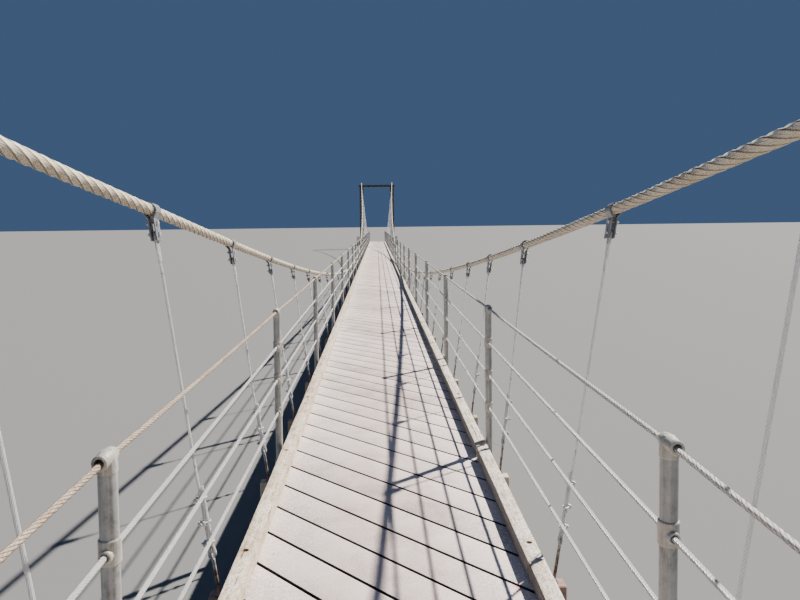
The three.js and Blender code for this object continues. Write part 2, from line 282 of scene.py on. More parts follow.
def add_piece(name, bm, materials, replaced=(), sharp=SHARP_FROM):
    """Makes the bmesh, in metres of the real bridge, a piece of the model"""
    bmesh.ops.recalc_face_normals(bm, faces=bm.faces)
    bmesh.ops.scale(bm, vec=(SCALE,) * 3, verts=bm.verts)
    mesh = bpy.data.meshes.new(name)
    bm.to_mesh(mesh)
    bm.free()
    mesh.shade_smooth()
    mesh.set_sharp_from_angle(angle=math.radians(sharp))
    for material in materials:
        mesh.materials.append(material)
    piece = bpy.data.objects.new(name, mesh)
    bpy.context.scene.collection.objects.link(piece)
    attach(piece, "root")
    if replaced:
        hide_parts(*replaced)
    return piece


concrete = concrete_finish()
for end in ENDS:
    blocks = [f"{kind}_{end}_{side}" for side in SIDES for kind in ("tower_footing", "anchor_block")]
    for node in [f"abutment_{end}", *blocks]:
        add_piece(f"cast_{node}", dressed_copy(node, CHAMFER), [concrete], [node])


# Tower legs and crossbeams
# Rolled steel H sections, painted dark; base plates bolted to the footings, the beam bolted on cap plates.
ROLLED_EDGE = 0.006
BASE_PLATE = 0.030
BEAM_FLANGE = 0.024
BEAM_WEB_HALF = 0.010
LEG_BOLTS_OUT = (0.225, 0.225)  # across and along the bridge
LEG_BOLT = (0.046, 0.034, 0.040)  # size of the nut, its height, thread above it
CAP_BOLTS_OUT = (0.09, 0.12)
CAP_BOLT = (0.036, 0.026, 0.020)
WASHER_THICK = 0.12  # of the nut's size, as the next one
THREAD_RADIUS = 0.27
THREAD_TAPER = 0.85
STIFFENER_THICK = 0.014
STIFFENERS_OUT = 0.15  # from the leg's middle


def tower_paint():
    finish = Finish("weathered_tower_paint", 0.5, 0.1)
    patches = finish.noise(2.5, 5, 0.6)
    colour = finish.ramp(patches, (0.3, (0.075, 0.095, 0.095)), (0.7, (0.13, 0.155, 0.15)))
    runs = finish.noise(3.0, 5, 0.65, (6, 6, 0.5))
    rust = finish.levels(finish.plus(runs, finish.times(patches, 0.5)), 0.80, 0.93)
    rust_colour = finish.ramp(finish.noise(40, 4), (0.3, (0.09, 0.03, 0.014)), (0.7, (0.24, 0.09, 0.035)))
    finish.colour(finish.mix(rust, colour, rust_colour))
    finish.roughness(finish.levels(rust, 0, 1, 0.45, 0.9))
    finish.bump(finish.noise(90, 3), 0.0006)
    finish.bump(rust, 0.0008)
    return finish.material


def galvanised_finish(name, light, metallic, stained_below=(), rusty=0.7):
    """Dull zinc with spangle, rain streaks, a little rust and dirt below the given heights"""
    finish = Finish(name, 0.5, metallic)
    spangle = finish.node("ShaderNodeTexVoronoi", {"Vector": finish.place, "Scale": 140}).outputs["Color"]
    spangle = finish.split(spangle)[0]
    streaks = finish.noise(1.0, 6, 0.7, (95, 95, 3.0))
    cloud = finish.noise(14.0, 6, 0.7)
    value = finish.maths("MULTIPLY_ADD", spangle, 0.05)
    finish.feed(value.node.inputs[2], finish.times(finish.plus(streaks, cloud), 0.5))
    dark, middle, pale = (
        tuple(a * b for a, b in zip(light, tone))
        for tone in ((0.19, 0.185, 0.16), (0.37, 0.36, 0.325), (0.58, 0.57, 0.53))
    )
    colour = finish.ramp(value, (0.36, dark), (0.47, middle), (0.66, pale))
    rust = finish.levels(finish.noise(9.0, 6, 0.7), 0.70, 0.80)
    colour = finish.mix(finish.times(rust, rusty), colour, (0.16, 0.075, 0.035))
    height = finish.split(finish.place)[2]
    mottle = finish.levels(finish.noise(1.0, 6, 0.75, (75, 75, 30)), 0.49, 0.60)
    for top in stained_below:
        fade = finish.levels(height, top - 0.14, top - 0.03)
        under = finish.levels(height, top - 0.022, top - 0.026)
        stain = finish.times(finish.times(fade, under), mottle)
        colour = finish.mix(finish.times(stain, 0.6), colour, (0.10, 0.088, 0.075))
    finish.colour(colour)
    finish.roughness(finish.levels(value, 0.35, 0.75, 0.36, 0.60))
    finish.bump(value, 0.0006)
    return finish.material


def kept_mesh(bm, name):
    mesh = bpy.data.meshes.new(name)
    bm.to_mesh(mesh)
    bm.free()
    return mesh


def stand_disc(bm, sides, radius, high, z, taper=1.0):
    """A disc or a prism that stands at the height z"""
    disc = bmesh.ops.create_cone(
        bm, cap_ends=True, segments=sides, radius1=radius, radius2=taper * radius, depth=high
    )["verts"]
    bmesh.ops.translate(bm, vec=(0, 0, z + high / 2), verts=disc)
    return disc


def hex_bolt(size, high, stub, washer=True):
    """Nut, washer and thread end that stand on the XY plane"""
    bm = bmesh.new()
    lift = WASHER_THICK * size if washer else 0.0
    if washer:
        stand_disc(bm, 12, size, lift, 0.0)
    stand_disc(bm, 6, size / math.sqrt(3), high, lift)
    stand_disc(bm, 8, THREAD_RADIUS * size, stub, lift + high, THREAD_TAPER)
    return kept_mesh(bm, "bolt_pattern")


def stamp(bm, pattern, place=Matrix.Identity(4)):
    """Adds a copy of the pattern mesh at the place"""
    placed = pattern.copy()
    placed.transform(place)
    bm.from_mesh(placed)
    bpy.data.meshes.remove(placed)


def real_box(node):
    low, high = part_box(node)
    return low / SCALE, high / SCALE


def tower_bolts(end, leg_bolt, cap_bolt):
    """Four bolts in each leg's base plate and four where the crossbeam sits on it"""
    bm = bmesh.new()
    beam_bottom = real_box(f"tower_crossbeam_{end}")[0].z
    for side in SIDES:
        leg_low, leg_high = real_box(f"tower_leg_{end}_{side}")
        middle = (leg_low + leg_high) / 2
        groups = (
            (leg_bolt, LEG_BOLTS_OUT, leg_low.z + BASE_PLATE),
            (cap_bolt, CAP_BOLTS_OUT, beam_bottom + BEAM_FLANGE),
        )
        for bolt, (out_x, out_y), z in groups:
            for x in (middle.x - out_x, middle.x + out_x):
                for y in (middle.y - out_y, middle.y + out_y):
                    stamp(bm, bolt, Matrix.Translation((x, y, z)))
    return bm


def tower_stiffeners(end):
    """Plates between the crossbeam's flanges over each leg, welded to its web"""
    bm = bmesh.new()
    beam_low, beam_high = real_box(f"tower_crossbeam_{end}")
    middle_y = (beam_low.y + beam_high.y) / 2
    half_wide = (beam_high.y - beam_low.y) / 2
    size = (STIFFENER_THICK, half_wide - BEAM_WEB_HALF, beam_high.z - beam_low.z - 2 * BEAM_FLANGE)
    for side in SIDES:
        leg_low, leg_high = real_box(f"tower_leg_{end}_{side}")
        for offset in (-STIFFENERS_OUT, STIFFENERS_OUT):
            for face in (-1, 1):
                plate = bmesh.ops.create_cube(bm, size=1)["verts"]
                bmesh.ops.scale(bm, vec=size, verts=plate)
                x = (leg_low.x + leg_high.x) / 2 + offset
                y = middle_y + face * (half_wide + BEAM_WEB_HALF) / 2
                bmesh.ops.translate(bm, vec=(x, y, (beam_low.z + beam_high.z) / 2), verts=plate)
    return bm


paint = tower_paint()
bright_zinc = galvanised_finish("bright_zinc", (1.5, 1.5, 1.5), 0.3)
weathered_zinc = galvanised_finish("weathered_zinc", (0.95, 0.95, 0.95), 0.25)
leg_bolt = hex_bolt(*LEG_BOLT)
cap_bolt = hex_bolt(*CAP_BOLT)
for end in ENDS:
    beam = f"tower_crossbeam_{end}"
    add_piece(f"rolled_crossbeam_{end}", dressed_copy(beam, ROLLED_EDGE), [paint], [beam])
    add_piece(f"crossbeam_stiffeners_{end}", tower_stiffeners(end), [paint])
    bolts = tower_bolts(end, leg_bolt, cap_bolt)
    add_piece(f"tower_bolts_{end}", bolts, [weathered_zinc])
    for side in SIDES:
        leg = f"tower_leg_{end}_{side}"
        add_piece(f"rolled_leg_{end}_{side}", dressed_copy(leg, ROLLED_EDGE), [paint], [leg])


# Cable saddles
# Steel castings on the crossbeam, each a grooved bed between two cheeks; rods keep the cable in the groove.
CAST_EDGE = 0.006
KEEPER_RADIUS = 0.008
KEEPERS_OUT = 0.14
KEEPER_DROPS = (0.038, 0.022)  # below the cheeks' top, towards the backstay and towards the span
KEEPER_PAST_CHEEK = 0.002
KEEPER_NUT = (0.026, 0.014, 0.012)


def tube_between(bm, start, end, radius, segments):
    """A closed round bar from one point to another"""
    along = end - start
    bar = stand_disc(bm, segments, radius, along.length, -along.length / 2)
    place = Matrix.Translation((start + end) / 2) @ along.to_track_quat("Z", "Y").to_matrix().to_4x4()
    bmesh.ops.transform(bm, matrix=place, verts=bar)


def saddle_keepers(end, side, nut):
    bm = bmesh.new()
    low, high = real_box(f"cable_saddle_{end}_{side}")
    middle_y = (low.y + high.y) / 2
    away = math.copysign(KEEPERS_OUT, middle_y)
    for offset, drop in zip((away, -away), KEEPER_DROPS):
        start = Vector((low.x - KEEPER_PAST_CHEEK, middle_y + offset, high.z - drop))
        finish = Vector((high.x + KEEPER_PAST_CHEEK, middle_y + offset, high.z - drop))
        tube_between(bm, start, finish, KEEPER_RADIUS, 10)
        stamp(bm, nut, Matrix.Translation(start) @ Matrix.Rotation(-math.pi / 2, 4, "Y"))
        stamp(bm, nut, Matrix.Translation(finish) @ Matrix.Rotation(math.pi / 2, 4, "Y"))
    return bm


keeper_nut = hex_bolt(*KEEPER_NUT)
for end in ENDS:
    for side in SIDES:
        saddle = f"cable_saddle_{end}_{side}"
        cast = dressed_copy(saddle, CAST_EDGE)
        add_piece(f"cast_saddle_{end}_{side}", cast, [weathered_zinc], [saddle])
        keepers = saddle_keepers(end, side, keeper_nut)
        add_piece(f"saddle_keepers_{end}_{side}", keepers, [bright_zinc])


# Main cables
# Wire ropes of six strands laid up round a core, 50 mm thick, from anchor to anchor over both towers.
HALF_SPAN = 39.0
CABLE_RADIUS = 0.025
CABLE_LOW = 0.297  # lowest point above the deck
CABLE_RISE = 3.46e-3  # height gained over the square of the distance from mid-span
CABLE_X = 0.832
CABLE_SPREAD = 0.39e-3
SADDLE_RADIUS = 0.6
SADDLE_POINTS = 12
ROUTE_STEP = 0.5
BACKSTAY_RUN = 8.6
ANCHOR_EYE_HIGH = 0.65
SOCKET_REACH = 0.64  # from the anchor's face to the rope's end
BULGE_AT = -20.9
BULGES = {1: (0.064, 6.0), -1: (0.024, 1.1)}  # how far out, and over what length, on the right and left
STRANDS = 6
CABLE_LAY = 0.45
CABLE_STEPS_A_LAY = 10
CABLE_POINTS_A_STRAND = 3
VALLEY = 0.82  # of the rope's radius, between two strands
WIRES_A_STRAND = 4
WIRE_SCATTER = 0.03  # how far light finds its way among bright wires
ROPE_SHARP_FROM = 70  # degrees

tower_high = deck_top + CABLE_LOW + CABLE_RISE * HALF_SPAN**2
span_angle = math.atan(2 * CABLE_RISE * HALF_SPAN)
backstay_angle = math.atan((tower_high - ANCHOR_EYE_HIGH) / BACKSTAY_RUN)
backstay_end = BACKSTAY_RUN - SOCKET_REACH * math.cos(backstay_angle)


def cable_point(y):
    """Centre of the cable on the side of +X, over the span"""
    return Vector((CABLE_X + CABLE_SPREAD * y * y, y, deck_top + CABLE_LOW + CABLE_RISE * y * y))


def backstay_point(run):
    """Centre of the backstay on the side of +X, at the given distance past the north tower"""
    flare = 2 * CABLE_SPREAD * HALF_SPAN
    top = cable_point(HALF_SPAN)
    share = run / BACKSTAY_RUN
    return Vector((top.x + flare * run, HALF_SPAN + run, top.z - share * (top.z - ANCHOR_EYE_HIGH)))


def stand_out(sign, y):
    """How far one stretch of a cable hangs outside its curve"""
    out, long = BULGES[sign]
    return sign * out * math.exp(-(((y - BULGE_AT) / long) ** 2))


def half_cable_route():
    """Centre line from mid-span over the north saddle to the socket"""
    half_bend = (span_angle + backstay_angle) / 2
    tangent = SADDLE_RADIUS * math.tan(half_bend)
    drop = SADDLE_RADIUS / math.cos(half_bend)
    tilt = (backstay_angle - span_angle) / 2
    centre_y = HALF_SPAN - drop * math.sin(tilt)
    centre_z = tower_high - drop * math.cos(tilt)
    points = [cable_point(ROUTE_STEP * i) for i in range(int((HALF_SPAN - tangent) / ROUTE_STEP))]
    for i in range(SADDLE_POINTS + 1):
        angle = -span_angle + (span_angle + backstay_angle) * i / SADDLE_POINTS
        y = centre_y + SADDLE_RADIUS * math.sin(angle)
        points.append(Vector((cable_point(y).x, y, centre_z + SADDLE_RADIUS * math.cos(angle))))
    points.append(backstay_point(backstay_end))
    return points


def one_lay(radius, lay, steps, points_a_strand, valley):
    """One turn of a straight rope up the Z axis: a lobed outline that turns about its middle as it rises"""
    bm = bmesh.new()
    count = STRANDS * points_a_strand
    outline = bmesh.ops.create_circle(bm, cap_ends=False, segments=count, radius=radius)["verts"]
    for index, vert in enumerate(outline):
        if index % points_a_strand == 0:
            vert.co *= valley
    bmesh.ops.spin(
        bm, geom=bm.verts[:] + bm.edges[:], cent=(0, 0, 0), axis=(0, 0, 1), dvec=(0, 0, lay / steps),
        angle=2 * math.pi, steps=steps, use_merge=False,
    )
    return bm


def mark_lay(bm, lay):
    """UV for a rope up the Z axis: U goes round it with the strands, V is the distance along it"""
    layer = bm.loops.layers.uv.new("UVMap")
    for face in bm.faces:
        middle = face.calc_center_median()
        facing = math.atan2(middle.y, middle.x)
        for loop in face.loops:
            co = loop.vert.co
            angle = math.atan2(co.y, co.x)
            angle += 2 * math.pi * round((facing - angle) / (2 * math.pi))
            loop[layer].uv = (angle / (2 * math.pi) - co.z / lay, co.z)


def repeated(bm, count, step):
    """The pattern set end to end up the Z axis, welded where the copies meet"""
    pattern = bpy.data.objects.new("pattern", kept_mesh(bm, "pattern"))
    bpy.context.scene.collection.objects.link(pattern)
    array = pattern.modifiers.new("array", "ARRAY")
    array.count = count
    array.use_relative_offset = False
    array.use_constant_offset = True
    array.constant_offset_displace = (0, 0, step)
    array.use_merge_vertices = True
    array.merge_threshold = 1e-4
    graph = bpy.context.evaluated_depsgraph_get()
    mesh = bpy.data.meshes.new_from_object(pattern.evaluated_get(graph))
    bpy.data.objects.remove(pattern)
    return mesh


def laid_rope(length, radius, lay, steps_a_lay, points_a_strand, valley):
    bm = one_lay(radius, lay, steps_a_lay, points_a_strand, valley)
    mark_lay(bm, lay)
    return repeated(bm, round(length / lay), lay)


def bent_along(mesh, points, level=(0, 0, 1)):
    """Carries a rope from the Z axis onto a line of points and closes its ends"""
    line = np.array([tuple(p) for p in points])
    steps = np.linalg.norm(np.diff(line, axis=0), axis=1)
    starts = np.concatenate(([0.0], np.cumsum(steps)))
    tangents = np.gradient(line, starts, axis=0)
    flat = np.empty(3 * len(mesh.vertices), dtype=np.float32)
    mesh.vertices.foreach_get("co", flat)
    co = flat.reshape(-1, 3).astype(float)
    station = co[:, 2] * starts[-1] / co[:, 2].max()
    middle = np.stack([np.interp(station, starts, line[:, i]) for i in range(3)], axis=1)
    along = np.stack([np.interp(station, starts, tangents[:, i]) for i in range(3)], axis=1)
    along /= np.linalg.norm(along, axis=1, keepdims=True)
    across = np.cross(along, level)
    across /= np.linalg.norm(across, axis=1, keepdims=True)
    upward = np.cross(along, across)
    bent = middle + across * co[:, :1] + upward * co[:, 1:2]
    mesh.vertices.foreach_set("co", bent.astype(np.float32).ravel())
    bm = bmesh.new()
    bm.from_mesh(mesh)
    bmesh.ops.holes_fill(bm, edges=[e for e in bm.edges if e.is_boundary], sides=0)
    return bm


def rope_finish(
    name, pale, tan, shadow, wire_pitch, metallic=0.1, roughness=0.5, valley=0.6, lobe=0.0, wires=0.0008,
    underside_shade=0.5, scatter=0.0, grain=0.25, groove=0.7,
):
    """Galvanised wire gone dull: fine wires in each strand, painted shade between the strands and underneath
    """
    finish = Finish(name, roughness, metallic)
    finish.shader.inputs["Subsurface Weight"].default_value = scatter
    finish.shader.inputs["Subsurface Radius"].default_value = (1, 1, 1)
    finish.shader.inputs["Subsurface Scale"].default_value = WIRE_SCATTER * SCALE
    marks = finish.node("ShaderNodeUVMap", {}, uv_map="UVMap").outputs[0]
    around, along = finish.split(marks)[0:2]
    strand = finish.maths("FRACT", finish.times(around, STRANDS))
    crown = finish.maths("SINE", finish.times(strand, math.pi))
    wire = finish.plus(finish.times(strand, WIRES_A_STRAND), finish.maths("DIVIDE", along, wire_pitch))
    wire = finish.maths("SINE", finish.times(wire, 2 * math.pi))
    colour = finish.ramp(finish.noise(5.0, 5, 0.6), (0.32, tan), (0.62, pale))
    colour = finish.mix(grain, colour, finish.levels(finish.noise(210, 4, 0.8), 0.42, 0.58), "OVERLAY")
    colour = finish.mix(finish.levels(wire, -1.0, 0.2, 0.2, 0.0), colour, tan)
    # Painted shade: the shadow colour laid into the grooves between the strands
    colour = finish.mix(finish.levels(crown, 0.1, groove, valley, 0.0), colour, shadow)
    # Painted shade: the shadow colour laid on the faces that look down
    upward = finish.facing()[2]
    colour = finish.mix(finish.levels(upward, 0.2, -0.6, 0.0, underside_shade), colour, shadow)
    finish.colour(colour)
    if lobe:
        finish.bump(crown, lobe)
    finish.bump(wire, wires)
    return finish.material


cream_wire = rope_finish(
    "cream_wire_rope", pale=(0.97, 0.89, 0.73), tan=(0.76, 0.65, 0.47), shadow=(0.14, 0.12, 0.075),
    wire_pitch=0.0225, metallic=0.05, valley=1.0, wires=0.0002, underside_shade=0.45, grain=0.08, groove=0.58,
)
half_route = half_cable_route()
for side, sign in SIDES.items():
    route = [Vector((p.x, -p.y, p.z)) for p in reversed(half_route[1:])] + half_route
    route = [Vector((sign * p.x + stand_out(sign, p.y), p.y, p.z)) for p in route]
    length = sum((b - a).length for a, b in zip(route, route[1:]))
    rope = laid_rope(length, CABLE_RADIUS, CABLE_LAY, CABLE_STEPS_A_LAY, CABLE_POINTS_A_STRAND, VALLEY)
    cable = bent_along(rope, route)
    node = f"main_cable_{side}"
    add_piece(f"laid_cable_{side}", cable, [cream_wire], [node], ROPE_SHARP_FROM)


# Anchor sockets
# Turned steel sockets on round plates bolted to the blocks; the cable's end is held in each by poured metal.
PLATE_TOP = 0.040
SOCKET_MOUTH = 0.596
SOCKET_PROFILE = (
    (0.0, 0.004), (0.166, 0.004), (0.170, 0.008), (0.170, 0.036), (0.166, PLATE_TOP), (0.075, PLATE_TOP),
    (0.062, 0.055), (0.055, 0.075), (0.055, 0.400), (0.051, 0.406), (0.046, 0.420), (0.036, 0.560),
    (0.038, 0.572), (0.038, 0.588), (0.035, 0.594), (0.029, SOCKET_MOUTH), (0.0, SOCKET_MOUTH),
)
SOCKET_BOLTS = 8
SOCKET_BOLT = (0.036, 0.022, 0.020)
SOCKET_BOLT_RING = 0.130
SERVING_RADIUS = 0.0285
SERVING_GROOVE = 0.002
SERVING_PITCH = 0.006
SERVING_LONG = 0.12
SERVING_LAP = 0.002  # inside the socket's mouth


def spun(bm, steps):
    """The outline in the bmesh turned once round the Z axis"""
    bmesh.ops.spin(
        bm, geom=bm.verts[:] + bm.edges[:], cent=(0, 0, 0), axis=(0, 0, 1), angle=2 * math.pi, steps=steps,
        use_merge=True,
    )
    bmesh.ops.remove_doubles(bm, verts=bm.verts, dist=1e-5)
    return bm


def turned(profile, segments, ring=False):
    """A solid of revolution; the profile starts and ends on the Z axis, or for a ring closes on itself"""
    bm = bmesh.new()
    verts = [bm.verts.new((radius, 0, z)) for radius, z in profile]
    for pair in zip(verts, verts[1:] + verts[:1] if ring else verts[1:]):
        bm.edges.new(pair)
    return spun(bm, segments)


def socket_pattern(bolt):
    bm = turned(SOCKET_PROFILE, 28)
    for i in range(SOCKET_BOLTS):
        angle = 2 * math.pi * (i + 0.5) / SOCKET_BOLTS
        place = (SOCKET_BOLT_RING * math.cos(angle), SOCKET_BOLT_RING * math.sin(angle), PLATE_TOP)
        stamp(bm, bolt, Matrix.Translation(place))
    inner = SERVING_RADIUS - SERVING_GROOVE
    for i in range(round(SERVING_LONG / SERVING_PITCH)):
        z = SOCKET_MOUTH - SERVING_LAP + SERVING_PITCH * i
        outline = ((0.0, z), (inner, z), (SERVING_RADIUS, z + SERVING_PITCH / 2), (0.0, z + SERVING_PITCH))
        stamp(bm, kept_mesh(turned(outline, 16), "serving_turn"))
    return kept_mesh(bm, "socket_pattern")


socket = socket_pattern(hex_bolt(*SOCKET_BOLT))
for end, way in ENDS.items():
    for side, sign in SIDES.items():
        flip = Matrix.Diagonal((sign, way, 1))
        face = flip @ backstay_point(BACKSTAY_RUN)
        above = flip @ backstay_point(backstay_end)
        bm = bmesh.new()
        axis = (above - face).to_track_quat("Z", "Y").to_matrix().to_4x4()
        stamp(bm, socket, Matrix.Translation(face) @ axis)
        node = f"anchor_socket_{end}_{side}"
        add_piece(f"turned_socket_{end}_{side}", bm, [weathered_zinc], [node])


# Floor beams and stringers
# Sawn timbers under the boards: cross beams hung at both ends, and three lines of stringers on them.
BEAM_PITCH = 1.36
BEAMS_PER_HALF = 28
BEAM_SIZE = (1.66, 0.075, 0.100)
BEAM_TOP = -0.110  # below the walking surface
BEAM_TONES = {-15: 0.42, -14: 1.15, -13: 0.8}
BEAMS_AHEAD = {-16: 0.040, -15: 0.030}
STRINGER_LINES = (-0.65, 0.0, 0.65)
STRINGER_SIZE = (0.095, 0.065)
STRINGER_LONG = 4 * BEAM_PITCH
SAWN_EDGE = 0.005
TIMBER_GAP = 0.004
STRINGER_SEAT = 0.002

rng = random.Random(11)


def toned_bmesh():
    """An empty bmesh whose faces keep a tone from 0 to 1 for their finish"""
    bm = bmesh.new()
    bm.faces.layers.float.new("shade")
    return bm


def keep_tone(bm, faces, tone):
    """Sets the tone of the faces of such a bmesh"""
    layer = bm.faces.layers.float["shade"]
    for face in faces:
        face[layer] = tone


def sawn_timber(bm, size, middle, tone):
    """A sawn length with eased arrises"""
    new = bmesh.ops.create_cube(bm, size=1)["verts"]
    bmesh.ops.scale(bm, vec=size, verts=new)
    bmesh.ops.translate(bm, vec=middle, verts=new)
    corners = ease(bm, list({e for v in new for e in v.link_edges}), SAWN_EDGE, 1)
    keep_tone(bm, {f for v in corners for f in v.link_faces}, tone)


def timber_finish(name, stops, run):
    """Weathered timber; run is the stretch that draws the grain out along the length"""
    finish = Finish(name, 0.86)
    shade = finish.attribute("shade")
    fibre = finish.noise(1.0, 6, 0.7, run)
    cloud = finish.noise(2.2, 4, 0.6)
    value = finish.weighted((fibre, 0.55), (cloud, 0.25), (shade, 0.35))
    colour = finish.ramp(value, *stops)
    speck = finish.noise(240, 2, 0.8)
    colour = finish.mix(0.2, colour, speck, "OVERLAY")
    split = finish.noise(1.0, 2, 0.5, tuple(c * 1.4 for c in run))
    split = finish.levels(split, 0.335, 0.30)
    colour = finish.mix(finish.times(split, 0.5), colour, (0.05, 0.04, 0.03))
    finish.colour(colour)
    finish.bump(fibre, 0.0012)
    finish.bump(finish.flipped(split), 0.0015)
    return finish.material


def floor_beams():
    bm = toned_bmesh()
    z = deck_top + BEAM_TOP - BEAM_SIZE[2] / 2
    for k in range(-BEAMS_PER_HALF, BEAMS_PER_HALF):
        tone = BEAM_TONES.get(k, rng.random())
        y = (k + 0.5) * BEAM_PITCH + BEAMS_AHEAD.get(k, 0.0)
        sawn_timber(bm, BEAM_SIZE, (0, y, z), tone)
    for y in (-HALF_SPAN, HALF_SPAN):
        sawn_timber(bm, BEAM_SIZE, (0, y, z), rng.random())
    return bm


def stringers():
    bm = toned_bmesh()
    reach = real_box("floor_frame_4")[1].y
    z = deck_top + BEAM_TOP + STRINGER_SIZE[1] / 2
    count = math.ceil(2 * reach / STRINGER_LONG)
    for x in STRINGER_LINES:
        for i in range(count):
            start = max(-reach, (i - count / 2) * STRINGER_LONG)
            finish = min(reach, (i + 1 - count / 2) * STRINGER_LONG)
            size = (STRINGER_SIZE[0], finish - start - TIMBER_GAP, STRINGER_SIZE[1] - STRINGER_SEAT)
            sawn_timber(bm, size, (x, (start + finish) / 2, z), rng.random())
    return bm


beam_stops = (
    (0.38, (0.17, 0.085, 0.06)), (0.52, (0.34, 0.205, 0.155)), (0.64, (0.48, 0.34, 0.27)),
    (0.8, (0.74, 0.62, 0.46)),
)
cross_timber = timber_finish("weathered_cross_timber", beam_stops, (3, 45, 45))
long_timber = timber_finish("weathered_long_timber", beam_stops, (45, 2, 45))
frames = [f"floor_frame_{i}" for i in range(1, 5)]
add_piece("floor_beams", floor_beams(), [cross_timber], frames)
add_piece("stringers", stringers(), [long_timber])


# Hangers
# At every floor beam end: a strap over the main cable, a wire rope on its lower bolt, and clips that close
# the rope round the eye of a rod that goes through the beam. Near mid-span the rod alone reaches the cable.
FOOT_X = 0.778
LEFT_STRAPS_AHEAD = -0.12  # of their beams, along the bridge
STRAPS_AHEAD = {-1: {-16: -0.076}, 1: {-14: 0.28, -13: 0.18}}  # out of line on the left and right
FEET_AHEAD = {-1: {-16: 0.044}, 1: {-16: 0.045, -15: 0.035, -14: 0.030}}
ROD_HANGERS_WITHIN = 11.0  # of mid-span
STRAP_RADIUS = 0.0265
STRAP_THICK = 0.005
STRAP_WIDE = 0.058
STRAP_LEGS = ((0.001, 0.010), (0.016, 0.026), (0.0, 0.096))  # steps inward and down from the cable's middle
STRAP_NUT = (0.018, 0.009, 0.0063)
STRAP_BOLT_HEAD = (0.018, 0.0072, 0.00036)
UPPER_BOLT_DROP = 0.055
LOWER_BOLT_DROP = 0.103
HANGER_ROPE_RADIUS = 0.0065
HANGER_ROPE_LAY = 0.080
ROPE_EYE_RADIUS = 0.0150  # at both ends of the rope
ROPE_GAP = 0.0072
FORGED_BAR_RADIUS = 0.0042  # of the thimbles and the clips' bows
THIMBLE_INSIDE = 0.0055
TOP_EYE_DROP = LOWER_BOLT_DROP + 0.006
THROAT_DROP = 0.185
TOP_THIMBLE_TIP = (0.004, 0.030 - THROAT_DROP)  # aside, and up from the cable's middle
SPLICE_LONG = 0.090
TAIL_ASIDE = 1.4 * ROPE_GAP
TAIL_DOWN = 0.4 * SPLICE_LONG
ROD_EYE_UP = 0.198  # of the rod's eye above the beam
ROD_RADIUS = 0.0082
ROD_EYE_RADIUS = 0.0145
ROD_EYE_THICK = 0.0062
ROD_PAST_NUT = 0.03
ROD_NUT = (0.022, 0.012, 0.004)
FOOT_UP = 0.003  # of the rod's nut above the beam
LOW_EYE_UP = 0.010  # of the rope's eye above the rod's, as the heights that follow
LOW_THIMBLE_TIP = (-0.003, 0.046)
CLIPS_UP = (0.070, 0.168, 0.282)
ROPES_MEET_UP = CLIPS_UP[0] - 0.012
SIDE_BY_SIDE_UP = 0.12
TAIL_UP = 0.335
ABOVE_TAIL = 0.10
OVERLAP = 0.001  # of two lengths of the rope where they meet
SLANT = math.radians(38)  # of the two ropes' plane from square across the bridge
CLIP_NUT = (0.013, 0.009, 0.005)
CLIP_BOW_OUT = 0.0045  # round the rope
CLIP_LEG = 0.033
CLIP_SADDLE = (0.012, 0.034, 0.022)
CLIP_SADDLE_OUT = 0.0175
CLIP_SADDLE_EDGE = 0.004
CLIP_SWAY = 0.2
FORGED_SHARP_FROM = 55  # degrees


def only_verts(geometry):
    return [v for v in geometry if isinstance(v, bmesh.types.BMVert)]


def bent_strap(radius, legs, wide, thick, steps=10):
    """Flat bar bent over the Y axis, with both legs led down by the given steps"""
    bm = bmesh.new()
    first = bm.verts.new((radius, 0, 0))
    bmesh.ops.spin(
        bm, geom=[first], cent=(0, 0, 0), axis=(0, -1, 0), angle=math.pi, steps=steps, use_merge=False
    )
    for inward, down in legs:
        ends = [v for v in bm.verts if len(v.link_edges) == 1]
        for vert in bmesh.ops.extrude_vert_indiv(bm, verts=ends)["verts"]:
            vert.co -= Vector((math.copysign(1, vert.co.x) * inward, 0, down))
    across = bmesh.ops.extrude_edge_only(bm, edges=bm.edges[:])["geom"]
    bmesh.ops.translate(bm, vec=(0, wide, 0), verts=only_verts(across))
    bmesh.ops.translate(bm, vec=(0, -wide / 2, 0), verts=bm.verts)
    bmesh.ops.recalc_face_normals(bm, faces=bm.faces)
    outward = max(bm.faces, key=lambda face: face.calc_center_median().z).normal.z
    bmesh.ops.solidify(bm, geom=bm.faces[:], thickness=-thick if outward > 0 else thick)
    return bm


def strap_bolt():
    """Bolt along X between a strap's legs, with its head at -X and its nut at +X"""
    bm = bmesh.new()
    half_grip = STRAP_RADIUS + STRAP_THICK - sum(leg[0] for leg in STRAP_LEGS)
    half = Vector((half_grip, 0, 0))
    tube_between(bm, -half, half, THREAD_RADIUS * STRAP_NUT[0], 8)
    nut = hex_bolt(*STRAP_NUT)
    head = hex_bolt(*STRAP_BOLT_HEAD, washer=False)
    stamp(bm, nut, Matrix.Translation(half) @ Matrix.Rotation(math.pi / 2, 4, "Y"))
    stamp(bm, head, Matrix.Translation(-half) @ Matrix.Rotation(-math.pi / 2, 4, "Y"))
    return kept_mesh(bm, "strap_bolt")


def arc_points(middle, radius, start, finish, steps):
    """Points on a circle in the YZ plane; angles are taken from +Y towards +Z"""
    points = []
    for i in range(steps + 1):
        angle = math.radians(start + (finish - start) * i / steps)
        points.append(middle + radius * Vector((0, math.cos(angle), math.sin(angle))))
    return points


def rope_along(points, radius, lay, sides=8, level=(1, 0, 0)):
    """A rope whose line lies in one plane square to the level direction"""
    bm = bmesh.new()
    bmesh.ops.create_circle(bm, cap_ends=False, segments=sides, radius=radius)
    edges = bm.edges[:]
    for first, second in zip(points, points[1:]):
        made = bmesh.ops.extrude_edge_only(bm, edges=edges)["geom"]
        edges = [e for e in made if isinstance(e, bmesh.types.BMEdge)]
        bmesh.ops.translate(bm, vec=(0, 0, (second - first).length), verts=only_verts(made))
    mark_lay(bm, lay)
    return kept_mesh(bent_along(kept_mesh(bm, "straight_rope"), points, level), "rope")


